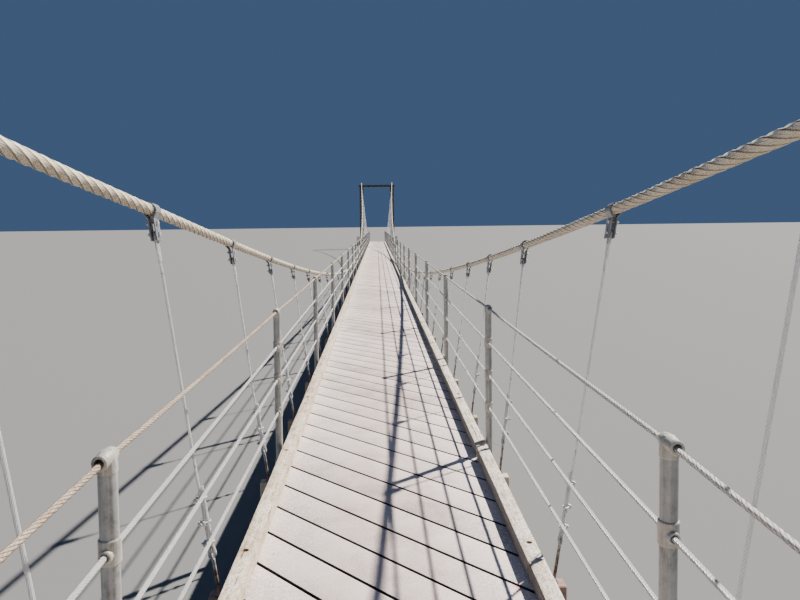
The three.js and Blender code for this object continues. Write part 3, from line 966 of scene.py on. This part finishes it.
def bent_bar(points, radius, sides=7, level=(1, 0, 0)):
    """A plain round bar or wire along the points"""
    return rope_along(points, radius, 1.0, sides, level)


def hanger_line(*places):
    """Points in the YZ plane, from pairs of a step aside and a height"""
    return [Vector((0, y, z)) for y, z in places]


def top_eye_rope():
    """Loop round the lower bolt, drawn together at the throat, with its short tail beside the rope"""
    loop = arc_points(Vector((0, 0, -TOP_EYE_DROP)), ROPE_EYE_RADIUS, -20, 200, 10)
    up = hanger_line((0, -THROAT_DROP - SPLICE_LONG), (ROPE_GAP, -THROAT_DROP))
    down = hanger_line((-ROPE_GAP, -THROAT_DROP), (-TAIL_ASIDE, -THROAT_DROP - TAIL_DOWN))
    return rope_along([*up, *loop, *down], HANGER_ROPE_RADIUS, HANGER_ROPE_LAY)


def thimble(eye_up, start, finish, steps, tip):
    """Bar bent to the inside of a rope's eye, with its two tips close together"""
    loop = arc_points(Vector((0, 0, eye_up)), ROPE_EYE_RADIUS - THIMBLE_INSIDE, start, finish, steps)
    aside, up = tip
    tips = hanger_line((aside, up), (-aside, up))
    return bent_bar([tips[0], *loop, tips[1]], FORGED_BAR_RADIUS)


def low_eye_rope():
    """Loop round the rod's eye with its tail turned up beside the standing rope; the origin is at the eye"""
    loop = arc_points(Vector((0, 0, LOW_EYE_UP)), ROPE_EYE_RADIUS, 170, 370, 12)
    standing = hanger_line(
        (-ROPE_GAP, TAIL_UP + ABOVE_TAIL), (-ROPE_GAP, SIDE_BY_SIDE_UP), (-ROPE_GAP, ROPES_MEET_UP)
    )
    tail = hanger_line((ROPE_GAP, ROPES_MEET_UP), (ROPE_GAP, SIDE_BY_SIDE_UP), (1.1 * ROPE_GAP, TAIL_UP))
    return rope_along([*standing, *loop, *tail], HANGER_ROPE_RADIUS, HANGER_ROPE_LAY)


def rope_clip(nut):
    """Wire rope grip: a bow round the two ropes, a saddle on the outer side and a nut on each leg"""
    bm = bmesh.new()
    bow = arc_points(Vector((0, 0, ROPE_GAP)), HANGER_ROPE_RADIUS + CLIP_BOW_OUT, 0, 180, 8)
    legs = (bow[0].y, bow[-1].y)
    feet = hanger_line(*((y, -CLIP_LEG) for y in legs))
    bar = bent_bar([feet[0], *bow, feet[1]], FORGED_BAR_RADIUS)
    stamp(bm, bar, Matrix.Rotation(-math.pi / 2, 4, "Y"))
    block = bmesh.new()
    bmesh.ops.create_cube(block, size=1)
    bmesh.ops.scale(block, vec=CLIP_SADDLE, verts=block.verts)
    ease(block, block.edges[:], CLIP_SADDLE_EDGE)
    stamp(bm, kept_mesh(block, "grip_saddle"), Matrix.Translation((CLIP_SADDLE_OUT, 0, 0)))
    outside = CLIP_SADDLE_OUT + CLIP_SADDLE[0] / 2
    for y in legs:
        stamp(bm, nut, Matrix.Translation((outside, y, 0)) @ Matrix.Rotation(math.pi / 2, 4, "Y"))
    return kept_mesh(bm, "rope_clip")


def ring_eye(radius, thick):
    """A ring about the X axis"""
    bm = bmesh.new()
    section = bmesh.ops.create_circle(bm, cap_ends=False, segments=8, radius=thick)["verts"]
    stand = Matrix.Translation((radius, 0, 0)) @ Matrix.Rotation(math.pi / 2, 4, "X")
    bmesh.ops.transform(bm, matrix=stand, verts=section)
    ring = kept_mesh(spun(bm, 14), "ring_eye")
    ring.transform(Matrix.Rotation(math.pi / 2, 4, "Y"))
    return ring


def eye_rod(top, nut):
    """Rod with a forged eye at the given height above the beam, and a nut and washer over and under it"""
    bm = bmesh.new()
    end = Vector((0, 0, -BEAM_SIZE[2] - ROD_PAST_NUT))
    tube_between(bm, end, Vector((0, 0, top - ROD_EYE_RADIUS)), ROD_RADIUS, 8)
    stamp(bm, ring_eye(ROD_EYE_RADIUS, ROD_EYE_THICK), Matrix.Translation((0, 0, top)))
    stamp(bm, nut)
    stamp(bm, nut, Matrix.Translation((0, 0, -BEAM_SIZE[2])) @ Matrix.Rotation(math.pi, 4, "X"))
    return bm


def hanger_places(sign):
    """For every beam: the hanger's place, its length, the cable's slope and whether it has a rope"""
    for k in range(-BEAMS_PER_HALF, BEAMS_PER_HALF):
        y = (k + 0.5) * BEAM_PITCH
        top_y = y + STRAPS_AHEAD[sign].get(k, LEFT_STRAPS_AHEAD if sign < 0 else 0.0)
        foot_y = y + FEET_AHEAD[sign].get(k, 0.0)
        head = cable_point(top_y)
        head.x = sign * head.x + stand_out(sign, top_y)
        foot = Vector((sign * FOOT_X, foot_y, deck_top + BEAM_TOP + FOOT_UP))
        up = (head - foot).normalized()
        outward = Vector((0, 1, 0)).cross(up).normalized() * sign
        axes = Matrix((outward, up.cross(outward), up)).transposed().to_4x4()
        slope = 2 * CABLE_RISE * y * sign
        yield Matrix.Translation(foot) @ axes, (head - foot).length, slope, abs(y) > ROD_HANGERS_WITHIN


def hang_side(sign):
    """The five pieces of one side's hangers"""
    slant = Matrix.Rotation(SLANT, 4, "Z")
    across = slant @ Matrix.Rotation(math.pi / 2, 4, "Z")
    straps, bolts, ropes, clips, rods = (bmesh.new() for _ in range(5))
    strap = kept_mesh(bent_strap(STRAP_RADIUS, STRAP_LEGS, STRAP_WIDE, STRAP_THICK), "strap")
    bolt = strap_bolt()
    top_rope = top_eye_rope()
    top_loop = thimble(-TOP_EYE_DROP, -40, 220, 10, TOP_THIMBLE_TIP)
    low_rope = low_eye_rope()
    low_loop = thimble(LOW_EYE_UP, 150, 390, 12, LOW_THIMBLE_TIP)
    clip = rope_clip(hex_bolt(*CLIP_NUT, washer=False))
    nut = hex_bolt(*ROD_NUT)
    short_rod = kept_mesh(eye_rod(ROD_EYE_UP, nut), "short_rod")
    for place, length, slope, roped in hanger_places(sign):
        top = place @ Matrix.Translation((0, 0, length))
        follow = Matrix.Identity(4)
        follow[2][1] = slope
        stamp(straps, strap, top @ follow)
        for drop in (UPPER_BOLT_DROP, LOWER_BOLT_DROP):
            stamp(bolts, bolt, top @ Matrix.Translation((0, 0, -drop)))
        if roped:
            eye = place @ Matrix.Translation((0, 0, ROD_EYE_UP))
            stamp(ropes, top_rope, top)
            stamp(clips, top_loop, top)
            stamp(ropes, low_rope, eye @ across)
            stamp(clips, low_loop, eye @ across)
            for up in CLIPS_UP:
                sway = Matrix.Rotation(rng.uniform(-CLIP_SWAY, CLIP_SWAY), 4, "Z")
                stamp(clips, clip, eye @ Matrix.Translation((0, 0, up)) @ slant @ sway)
            stamp(rods, short_rod, place)
            start = across @ Vector((0, -ROPE_GAP, ROD_EYE_UP + TAIL_UP + ABOVE_TAIL - OVERLAP))
            finish = Vector((0, 0, length - THROAT_DROP - SPLICE_LONG + OVERLAP))
            line = [start, start.lerp(finish, 0.5), finish]
            stamp(ropes, rope_along(line, HANGER_ROPE_RADIUS, HANGER_ROPE_LAY, level=(0, 1, 0)), place)
        else:
            stamp(rods, kept_mesh(eye_rod(length - LOWER_BOLT_DROP, nut), "long_rod"), place)
    return straps, bolts, ropes, clips, rods


def rusty_rod_finish():
    finish = Finish("rusty_rods", 0.75, 0.3)
    value = finish.noise(35, 5, 0.7)
    rust = finish.ramp(
        value, (0.38, (0.11, 0.06, 0.04)), (0.5, (0.29, 0.21, 0.165)), (0.62, (0.52, 0.46, 0.41)),
    )
    zinc = finish.ramp(finish.noise(60, 4, 0.6), (0.4, (0.40, 0.39, 0.37)), (0.65, (0.72, 0.71, 0.68)))
    height = finish.split(finish.place)[2]
    low = finish.plus(height, finish.levels(value, 0.3, 0.7, -0.09, 0.09))
    finish.colour(finish.mix(finish.levels(low, deck_top, deck_top + 0.05), rust, zinc))
    finish.bump(value, 0.0008)
    return finish.material


# Painted shade: a darker, bluer copy of the zinc for the cable straps
shaded_strap_zinc = galvanised_finish("shaded_strap_zinc", (0.62, 0.68, 0.78), 0.2)
rope_zinc = rope_finish(
    "hanger_wire_rope", pale=(1.0, 1.0, 0.98), tan=(0.92, 0.91, 0.89), shadow=(0.36, 0.35, 0.34),
    wire_pitch=0.010, metallic=0.0, roughness=0.35, lobe=0.0020, underside_shade=0.0, scatter=1.0,
)
rusty_rod = rusty_rod_finish()
for side, sign in SIDES.items():
    straps, bolts, ropes, clips, rods = hang_side(sign)
    add_piece(f"cable_straps_{side}", straps, [shaded_strap_zinc])
    add_piece(f"strap_bolts_{side}", bolts, [bright_zinc], sharp=FORGED_SHARP_FROM)
    add_piece(f"hanger_ropes_{side}", ropes, [rope_zinc], sharp=ROPE_SHARP_FROM)
    add_piece(f"rope_clips_{side}", clips, [bright_zinc], sharp=FORGED_SHARP_FROM)
    add_piece(f"eye_rods_{side}", rods, [rusty_rod], sharp=FORGED_SHARP_FROM)


# Deck boards
# Planks laid slantwise at 45 degrees across the stringers and screwed down, with narrow gaps between them.
BOARD_PITCH = 0.309  # along the bridge
BOARD_GAP = 0.021
BOARD_FIRST = -20.257  # a gap's place where it crosses the middle of the deck
BOARD_EDGE = 0.0025
BOARD_SAG = 0.0012
DECK_HALF_WIDTH = 0.70
BOARD_THICK = 0.045
RED_SPOT = Vector((0.563, -19.907, deck_top))
NAIL = Vector((-0.556, -19.558, deck_top))


def deck_boards():
    """Every board from one end of the deck to the other, cut square at the two ends"""
    bm = toned_bmesh()
    reach = real_box("deck_boards_4")[1].y
    lean = Matrix.Identity(4)
    lean[1][0] = -1.0
    first = math.ceil((-reach - DECK_HALF_WIDTH - BOARD_FIRST) / BOARD_PITCH) - 1
    last = math.floor((reach + DECK_HALF_WIDTH - BOARD_FIRST) / BOARD_PITCH) + 1
    size = (2 * DECK_HALF_WIDTH, BOARD_PITCH - BOARD_GAP, BOARD_THICK)
    for k in range(first, last):
        middle = BOARD_FIRST + (k + 0.5) * BOARD_PITCH
        board = toned_bmesh()
        new = bmesh.ops.create_cube(board, size=1)["verts"]
        bmesh.ops.scale(board, vec=size, verts=new)
        bmesh.ops.transform(board, matrix=lean, verts=new)
        sag = rng.uniform(-BOARD_SAG, 0.0)
        bmesh.ops.translate(board, vec=(0, middle, deck_top - BOARD_THICK / 2 + sag), verts=new)
        for end in (-1, 1):
            if abs(middle) + DECK_HALF_WIDTH + BOARD_PITCH > reach and middle * end > 0:
                geometry = board.verts[:] + board.edges[:] + board.faces[:]
                cut = bmesh.ops.bisect_plane(
                    board, geom=geometry, plane_co=(0, end * reach, 0), plane_no=(0, end, 0), clear_outer=True
                )["geom_cut"]
                rim = [e for e in cut if isinstance(e, bmesh.types.BMEdge)]
                bmesh.ops.holes_fill(board, edges=rim, sides=6)
        if len(board.faces) > 3:
            ease(board, board.edges[:], BOARD_EDGE)
            keep_tone(board, board.faces, rng.random())
            stamp(bm, kept_mesh(board, "board"))
    return bm


def dirt_and_painted_shade(finish):
    """Dirt and painted shade: 1 on the edges, inside the gaps and below, 0 on top"""
    upward = finish.facing("True Normal")[2]
    return finish.levels(upward, 0.97, 0.85)


def board_finish():
    finish = Finish("worn_deck_boards", 0.85)
    shade = finish.attribute("shade")
    speck = finish.noise(150, 4, 0.85)
    cloud = finish.noise(3.0, 5, 0.7)
    value = finish.weighted((speck, 0.45), (cloud, 0.25), (shade, 0.06))
    colour = finish.ramp(
        value, (0.30, (0.34, 0.27, 0.24)), (0.36, (0.61, 0.495, 0.45)), (0.42, (0.83, 0.685, 0.635)),
    )
    scuffs = finish.levels(finish.noise(55, 6, 0.9), 0.50, 0.55)
    across = finish.maths("ABSOLUTE", finish.split(finish.place)[0])
    near_kerb = finish.levels(across, 0.22, 0.60)
    scuffs = finish.times(scuffs, near_kerb)
    colour = finish.mix(finish.times(scuffs, 0.85), colour, (1.0, 0.97, 0.94))
    nail = finish.distance(NAIL)
    colour = finish.mix(finish.levels(nail, 0.006, 0.004, 0.0, 0.9), colour, (0.10, 0.07, 0.05))
    spot = finish.plus(finish.distance(RED_SPOT), finish.levels(speck, 0.3, 0.7, -0.012, 0.012))
    colour = finish.mix(finish.levels(spot, 0.016, 0.010, 0.0, 0.8), colour, (0.55, 0.10, 0.09))
    # Dirt and painted shade: the edges, the gap walls and the undersides of the boards go nearly black
    finish.colour(finish.mix(dirt_and_painted_shade(finish), colour, (0.022, 0.017, 0.015)))
    finish.bump(speck, 0.0012)
    return finish.material


boards = [f"deck_boards_{i}" for i in range(1, 5)]
add_piece("deck_planks", deck_boards(), [board_finish()], boards)


# Kerbs
# Timbers along both edges, butted with slant ends and bolted down through the boards into the floor beams.
KERB_WIDE = 0.080
KERB_TOP = 0.082
KERB_SEAT = 0.003
KERB_EDGE = 0.006
KERB_JOINT_GAP = 0.005
KERB_SLICE = 0.2  # between the cuts that let a timber waver
KERB_WAVER = 0.0008
KERB_DIP = 0.0007
SHORTEST_KERB = 0.5
KERB_BOLT = (0.016, 0.008, 0.003)
KERB_BOLT_X = 0.664
KERB_BOLT_AHEAD = 0.045  # of the beam's middle
KERB_BOLT_HOLE = 0.0140
KERB_HOLE_TAPER = 1.12
KERB_BOLT_DEEP = 0.036
KERB_BOLT_SUNK = 0.035
RIGHT_JOINTS = (-19.81, -18.30)
WIDE_JOINTS = {-18.30: 0.036}
RIGHT_TIMBER = 3.05  # length of a timber
LEFT_JOINT = -15.96
LEFT_TIMBER = 4.57


def kerb_joints(side, reach):
    """Places of the joints on the kerb's middle line, from the south end to the north end"""
    if side == "right":
        south = [RIGHT_JOINTS[0] - n * RIGHT_TIMBER for n in range(40)]
        north = [RIGHT_JOINTS[1] + n * RIGHT_TIMBER for n in range(40)]
        joints = south + north
    else:
        joints = [LEFT_JOINT + n * LEFT_TIMBER for n in range(-20, 20)]
    inside = sorted(j for j in joints if abs(j) < reach - SHORTEST_KERB)
    return [-reach, *inside, reach]


def kerb_run(side, sign):
    """All the timbers of one kerb, each a little out of true along its length"""
    bm = toned_bmesh()
    low, high = real_box(f"kerb_{side}")
    joints = kerb_joints(side, high.y)
    middle_x = (low.x + high.x) / 2
    middle_z = deck_top + (KERB_TOP + KERB_SEAT) / 2
    for start, finish in zip(joints, joints[1:]):
        start_cut = start + WIDE_JOINTS.get(start, KERB_JOINT_GAP) / 2
        finish_cut = finish - WIDE_JOINTS.get(finish, KERB_JOINT_GAP) / 2
        long = finish_cut - start_cut
        timber = toned_bmesh()
        new = bmesh.ops.create_cube(timber, size=1)["verts"]
        bmesh.ops.scale(timber, vec=(KERB_WIDE, long, KERB_TOP - KERB_SEAT), verts=new)
        for vert in new:
            at_end = vert.co.y > 0 and finish < high.y or vert.co.y < 0 and start > low.y
            if at_end:
                vert.co.y += sign * vert.co.x
        ease(timber, timber.edges[:], KERB_EDGE)
        middle = (middle_x, (start_cut + finish_cut) / 2, middle_z)
        bmesh.ops.translate(timber, vec=middle, verts=timber.verts)
        for i in range(1, int(long / KERB_SLICE)):
            geometry = timber.verts[:] + timber.edges[:] + timber.faces[:]
            at = (0, start + KERB_SLICE * i, 0)
            bmesh.ops.bisect_plane(timber, geom=geometry, plane_co=at, plane_no=(0, 1, 0))
        keep_tone(timber, timber.faces, 0.5 * rng.random() + 0.5)
        waver = rng.random() * 10
        for vert in timber.verts:
            wave = math.sin(3.1 * vert.co.y + waver) + 0.6 * math.sin(7.7 * vert.co.y + 2 * waver)
            vert.co.x -= sign * KERB_WAVER * (1.6 + wave)
            vert.co.z -= KERB_DIP * (1.6 + math.cos(2.3 * vert.co.y + waver) + 0.6 * wave)
        stamp(bm, kept_mesh(timber, "kerb_timber"))
    return bm


def kerb_bolt_places(sign):
    """Where each bolt's axis leaves the kerb's top"""
    for k in range(-BEAMS_PER_HALF, BEAMS_PER_HALF):
        y = (k + 0.5) * BEAM_PITCH + KERB_BOLT_AHEAD
        yield Vector((sign * KERB_BOLT_X, y, deck_top + KERB_TOP))


def bore(piece, sign):
    """Bores the bolt holes into the finished kerb"""
    bm = bmesh.new()
    for place in kerb_bolt_places(sign):
        hole = stand_disc(bm, 12, KERB_BOLT_HOLE, 2 * KERB_BOLT_DEEP, -KERB_BOLT_DEEP, KERB_HOLE_TAPER)
        bmesh.ops.translate(bm, vec=place, verts=hole)
    bmesh.ops.scale(bm, vec=(SCALE,) * 3, verts=bm.verts)
    cutter = bpy.data.objects.new("bores", kept_mesh(bm, "bores"))
    bpy.context.scene.collection.objects.link(cutter)
    modifier = piece.modifiers.new("bores", "BOOLEAN")
    modifier.operation = "DIFFERENCE"
    modifier.solver = "MANIFOLD"
    modifier.object = cutter
    graph = bpy.context.evaluated_depsgraph_get()
    mesh = bpy.data.meshes.new_from_object(piece.evaluated_get(graph))
    piece.modifiers.clear()
    piece.data = mesh
    bpy.data.objects.remove(cutter)


def kerb_finish():
    """Greyed timber, warmer on the left kerb, with painted shade on the inner side of the right one"""
    finish = Finish("weathered_kerb_timber", 0.9)
    fibre = finish.noise(1.0, 6, 0.7, (70, 5, 70))
    blotch = finish.noise(8.0, 6, 0.75)
    speck = finish.noise(190, 4, 0.85)
    value = finish.weighted((fibre, 0.35), (blotch, 0.35), (speck, 0.3))
    value = finish.plus(value, finish.levels(finish.attribute("shade"), 0, 1, -0.032, 0.038))
    colour = finish.ramp(
        value, (0.42, (0.26, 0.19, 0.13)), (0.465, (0.56, 0.45, 0.335)), (0.51, (0.84, 0.73, 0.60)),
        (0.56, (0.98, 0.92, 0.84)),
    )
    flecks = finish.levels(finish.noise(1.0, 5, 0.9, (130, 60, 130)), 0.50, 0.54)
    colour = finish.mix(finish.times(flecks, 0.7), colour, (0.27, 0.205, 0.15))
    crack = finish.levels(finish.noise(1.0, 3, 0.6, (50, 2.2, 50)), 0.355, 0.335)
    colour = finish.mix(finish.times(crack, 0.7), colour, (0.06, 0.045, 0.03))
    across = finish.split(finish.place)[0]
    # Painted shade: the mask of the right kerb's inner side, which faces away from the lamp
    inner_side = finish.levels(finish.facing()[0], -0.5, -0.9)
    shaded = finish.times(inner_side, finish.levels(across, 0.0, 0.1))
    colour = finish.mix(finish.levels(across, 0.0, -0.1), colour, (0.97, 0.92, 0.845), "MULTIPLY")
    # The painted shade's colour: the timber darkened to a cool grey
    painted_inner_shade = finish.mix(0.85, colour, (0.115, 0.12, 0.125), "MULTIPLY")
    painted_inner_shade = finish.mix(0.45, painted_inner_shade, (0.13, 0.135, 0.14))
    finish.colour(finish.mix(shaded, colour, painted_inner_shade))
    finish.bump(value, 0.0035)
    finish.bump(finish.flipped(crack), 0.002)
    return finish.material


kerb_timber = kerb_finish()
kerb_bolt = hex_bolt(*KERB_BOLT)
for side, sign in SIDES.items():
    timbers = kerb_run(side, sign)
    kerb = add_piece(f"kerb_timbers_{side}", timbers, [kerb_timber], [f"kerb_{side}"])
    bore(kerb, sign)
    bm = bmesh.new()
    for place in kerb_bolt_places(sign):
        stamp(bm, kerb_bolt, Matrix.Translation(place - Vector((0, 0, KERB_BOLT_SUNK))))
    add_piece(f"kerb_bolts_{side}", bm, [rusty_rod])


# Railing posts
# Galvanised pipes strapped to the deck's edge, each with a tee on top and three cross fittings for the ropes.
POST_PITCH = 2.80
POSTS_PER_HALF = 15
POST_X = 0.727
POST_RADIUS = 0.02415
POST_FOOT = -0.107
LAND_FOOT = 0.003  # of the posts that stand past the towers
POST_UNDER_TEE = 0.03
TOP_ROPE_HIGH = 1.005
LOWER_ROPES_HIGH = (0.761, 0.535, 0.311)
TEE_RADIUS = 0.0205
TEE_NEAR = 0.048  # from the post's middle to the south mouth
TEE_FAR = 0.037
TEE_BORE = 0.0126
FITTING_RADIUS = 0.0285
FITTING_HALF_HIGH = 0.0330
SPOUT_RADIUS = 0.0175
SPOUT_REACH = 0.036
SPOUT_BORE = 0.0115
FITTING_UP = 0.004
POST_STRAP_RADIUS = 0.0275
POST_STRAP_LEGS = ((0.0, 0.0255), (-0.028, 0.0))  # steps inward and back from the pipe's middle
POST_STRAP_WIDE = 0.028
POST_STRAP_THICK = 0.003
POST_STRAPS = (-0.085, -0.035)  # heights from the deck's top
POST_STRAP_BOLT = (0.011, 0.007, 0.004)
POST_STRAP_BOLTS = ((-0.0225, -0.044), (-0.0225, 0.044))
POSTS_AHEAD = {(-1, -8): -0.013}  # this one stands out of line

TO_Y = Matrix.Rotation(-math.pi / 2, 4, "X")
X_TO_Y_TO_Z_TO_X = Matrix(((0, 0, 1), (1, 0, 0), (0, 1, 0)))


def casting(bm, name):
    """Keeps the mesh with its faces in the post's second finish"""
    for face in bm.faces:
        face.material_index = 1
    return kept_mesh(bm, name)


def tee_head():
    """Barrel along Y with two ribs at its south mouth, and the collar that it sits on"""
    near = -TEE_NEAR
    outline = (
        (TEE_BORE, near), (TEE_RADIUS - 0.002, near), (TEE_RADIUS, near + 0.002), (TEE_RADIUS, near + 0.006),
        (TEE_RADIUS - 0.0018, near + 0.008), (TEE_RADIUS, near + 0.010), (TEE_RADIUS, near + 0.014),
        (TEE_RADIUS - 0.0016, near + 0.017), (TEE_RADIUS + 0.0015, -0.016), (TEE_RADIUS + 0.0015, 0.016),
        (TEE_RADIUS - 0.0010, TEE_FAR - 0.007), (TEE_RADIUS - 0.0045, TEE_FAR), (TEE_BORE, TEE_FAR),
    )
    bm = bmesh.new()
    stamp(bm, kept_mesh(turned(outline, 16, ring=True), "tee_barrel"), TO_Y)
    profile = (
        (0, -0.039), (0.0245, -0.039), (0.0260, -0.037), (0.0262, -0.027), (0.0258, -0.016),
        (0.0245, -0.003), (0.0215, 0.009), (0.0140, 0.019), (0, 0.0225),
    )
    stamp(bm, kept_mesh(turned(profile, 16), "tee_collar"))
    return casting(bm, "tee_head")


def cross_fitting():
    """Sleeve on the pipe with a short spout fore and aft for the rope"""
    high = FITTING_HALF_HIGH
    wide = FITTING_RADIUS
    inner = POST_RADIUS - 0.002
    sleeve = (
        (inner, -high), (wide - 0.002, -high), (wide, -high + 0.003), (wide, high - 0.003),
        (wide - 0.002, high), (inner, high),
    )
    bm = bmesh.new()
    stamp(bm, kept_mesh(turned(sleeve, 18, ring=True), "sleeve"), Matrix.Translation((0, 0, FITTING_UP)))
    outline = (
        (SPOUT_BORE, 0.020), (SPOUT_RADIUS + 0.002, 0.020), (SPOUT_RADIUS, SPOUT_REACH - 0.006),
        (SPOUT_RADIUS, SPOUT_REACH - 0.002), (SPOUT_RADIUS - 0.002, SPOUT_REACH), (SPOUT_BORE, SPOUT_REACH),
    )
    spout = kept_mesh(turned(outline, 12, ring=True), "spout")
    stamp(bm, spout, TO_Y)
    stamp(bm, spout, TO_Y.inverted())
    return casting(bm, "cross_fitting")


def post_strap(bolt):
    """Strap round the outside of the pipe, with an ear each way bolted to the deck's edge"""
    bm = bent_strap(POST_STRAP_RADIUS, POST_STRAP_LEGS, POST_STRAP_WIDE, POST_STRAP_THICK, 12)
    bmesh.ops.rotate(bm, matrix=X_TO_Y_TO_Z_TO_X, verts=bm.verts)
    for x, y in POST_STRAP_BOLTS:
        stamp(bm, bolt, Matrix.Translation((x, y, 0)) @ Matrix.Rotation(math.pi / 2, 4, "Y"))
    return kept_mesh(bm, "post_strap")


def railing_post(bm, sign, y, parts):
    """Pipe with its tee, its fittings and, where it stands at the deck's edge, its straps"""
    base = Vector((sign * POST_X, y, deck_top))
    at_deck = abs(y) < HALF_SPAN
    tee, fitting, strap = parts
    foot = base + Vector((0, 0, POST_FOOT if at_deck else LAND_FOOT))
    tube_between(bm, foot, base + Vector((0, 0, TOP_ROPE_HIGH - POST_UNDER_TEE)), POST_RADIUS, 20)
    stamp(bm, tee, Matrix.Translation(base + Vector((0, 0, TOP_ROPE_HIGH))))
    for high in LOWER_ROPES_HIGH:
        stamp(bm, fitting, Matrix.Translation(base + Vector((0, 0, high))))
    if at_deck:
        outward = Matrix.Rotation(0 if sign > 0 else math.pi, 4, "Z")
        for high in POST_STRAPS:
            stamp(bm, strap, Matrix.Translation(base + Vector((0, 0, high))) @ outward)


def post_row(sign, parts):
    bm = bmesh.new()
    for j in range(-POSTS_PER_HALF, POSTS_PER_HALF):
        railing_post(bm, sign, (j + 0.5) * POST_PITCH + POSTS_AHEAD.get((sign, j), 0.0), parts)
    return bm


stained_below = [deck_top + high for high in LOWER_ROPES_HIGH]
post_zinc = galvanised_finish("post_zinc", (0.86, 0.91, 0.95), 0.2, stained_below, 0.12)
# Painted light: a paler copy of the zinc for the tees and fittings, standing in for fill light on their shaded
# sides
fill_lit_casting_zinc = galvanised_finish("fill_lit_casting_zinc", (1.15, 1.14, 1.08), 0.1)
post_parts = (tee_head(), cross_fitting(), post_strap(hex_bolt(*POST_STRAP_BOLT)))
for side, sign in SIDES.items():
    nodes = [f"railing_{side}_{i}" for i in range(1, 5)]
    posts = post_row(sign, post_parts)
    add_piece(f"railing_posts_{side}", posts, [post_zinc, fill_lit_casting_zinc], nodes)


# Railing ropes
# A thick laid rope through the tees and three thin ones through the cross fittings, from end to end.
TOP_ROPE_RADIUS = 0.009
TOP_ROPE_LAY = 0.13
TOP_ROPE_STEPS_A_LAY = 8
TOP_ROPE_POINTS_A_STRAND = 2
TOP_ROPE_VALLEY = 0.85
LOWER_ROPE_RADIUS = 0.0078
LOWER_ROPE_LAY = 0.085
LOWER_ROPE_SIDES = 10
LAYS_A_STRETCH = 12
TOP_SAG = 0.004
LOOSE_BAYS = {-9: 0.022}  # the sag of the one slack bay on each side
SAG_POINTS = 10
ROPE_PAST_POST = 0.06
ROPE_END = (POSTS_PER_HALF - 0.5) * POST_PITCH + ROPE_PAST_POST


def plain_rope(length, radius, lay, segments):
    """A straight thin rope up the Z axis, whose strands are in its finish"""
    bm = bmesh.new()
    bmesh.ops.create_circle(bm, cap_ends=False, segments=segments, radius=radius)
    up = bmesh.ops.extrude_edge_only(bm, edges=bm.edges[:])["geom"]
    stretch = LAYS_A_STRETCH * lay
    bmesh.ops.translate(bm, vec=(0, 0, stretch), verts=only_verts(up))
    mark_lay(bm, lay)
    return repeated(bm, round(length / stretch), stretch)


def top_route(sign):
    """Centre line of a top rope, which lies in the bottom of the tees' bores and sags a little in every bay"""
    high = deck_top + TOP_ROPE_HIGH - TEE_BORE + TOP_ROPE_RADIUS
    points = [Vector((sign * POST_X, -ROPE_END, high))]
    for bay in range(-POSTS_PER_HALF, POSTS_PER_HALF - 1):
        sag = LOOSE_BAYS.get(bay, TOP_SAG)
        for i in range(SAG_POINTS):
            share = i / SAG_POINTS
            y = (bay + 0.5 + share) * POST_PITCH
            points.append(Vector((sign * POST_X, y, high - 4 * sag * share * (1 - share))))
    points.append(Vector((sign * POST_X, ROPE_END - ROPE_PAST_POST, high)))
    points.append(Vector((sign * POST_X, ROPE_END, high)))
    return points


silver_wire = rope_finish(
    "silver_wire_rope", pale=(0.97, 0.96, 0.94), tan=(0.82, 0.81, 0.79), shadow=(0.30, 0.29, 0.28),
    wire_pitch=0.0106, metallic=0.2, roughness=0.45, valley=0.5, lobe=0.0022, scatter=0.35,
)
top_wires = {
    "left": rope_finish(
        "tan_wire_rope", pale=(0.86, 0.69, 0.53), tan=(0.60, 0.44, 0.31), shadow=(0.15, 0.095, 0.06),
        wire_pitch=0.0217, valley=0.9, lobe=0.0022, wires=0.0005, scatter=0.15, grain=0.7,
    ),
    "right": rope_finish(
        "pale_wire_rope", pale=(0.98, 0.94, 0.89), tan=(0.82, 0.76, 0.70), shadow=(0.22, 0.19, 0.17),
        wire_pitch=0.0217, valley=0.85, lobe=0.0022, wires=0.0005, scatter=0.35, grain=0.5,
    ),
}
for side, sign in SIDES.items():
    top = laid_rope(
        2 * ROPE_END, TOP_ROPE_RADIUS, TOP_ROPE_LAY, TOP_ROPE_STEPS_A_LAY, TOP_ROPE_POINTS_A_STRAND,
        TOP_ROPE_VALLEY,
    )
    top = bent_along(top, top_route(sign))
    add_piece(f"top_rope_{side}", top, [top_wires[side]], sharp=ROPE_SHARP_FROM)
    bm = bmesh.new()
    for high in LOWER_ROPES_HIGH:
        ends = [Vector((sign * POST_X, y, deck_top + high)) for y in (-ROPE_END, ROPE_END)]
        thin = plain_rope(2 * ROPE_END, LOWER_ROPE_RADIUS, LOWER_ROPE_LAY, LOWER_ROPE_SIDES)
        stamp(bm, kept_mesh(bent_along(thin, ends), "thin_rope"))
    add_piece(f"lower_ropes_{side}", bm, [silver_wire], sharp=ROPE_SHARP_FROM)


# Tie wires
# Thin galvanised wire on the right side, from each post to the eye of the hanger rod nearest to it.
TIE_RADIUS = 0.0014
TIE_SIDES = 6
TIE_HIGH = 0.070
TIE_SAG = 0.006
TIE_POINTS = 8
TIE_IN_POST = 0.002
TIE_PAST_ROD = 0.026


def tie_wires():
    bm = bmesh.new()
    for j in range(-POSTS_PER_HALF + 1, POSTS_PER_HALF - 1):
        post_y = (j + 0.5) * POST_PITCH
        k = round(post_y / BEAM_PITCH - 0.5)
        rod_y = (k + 0.5) * BEAM_PITCH + FEET_AHEAD[1].get(k, 0.0)
        start = Vector((POST_X + POST_RADIUS - TIE_IN_POST, post_y, deck_top + TIE_HIGH))
        finish = Vector((FOOT_X + TIE_PAST_ROD, rod_y, deck_top + TIE_HIGH))
        points = []
        for i in range(TIE_POINTS + 1):
            share = i / TIE_POINTS
            points.append(start.lerp(finish, share) - Vector((0, 0, 4 * TIE_SAG * share * (1 - share))))
        stamp(bm, bent_bar(points, TIE_RADIUS, TIE_SIDES, (0, 0, 1)))
    return bm


add_piece("tie_wires", tie_wires(), [weathered_zinc], sharp=ROPE_SHARP_FROM)
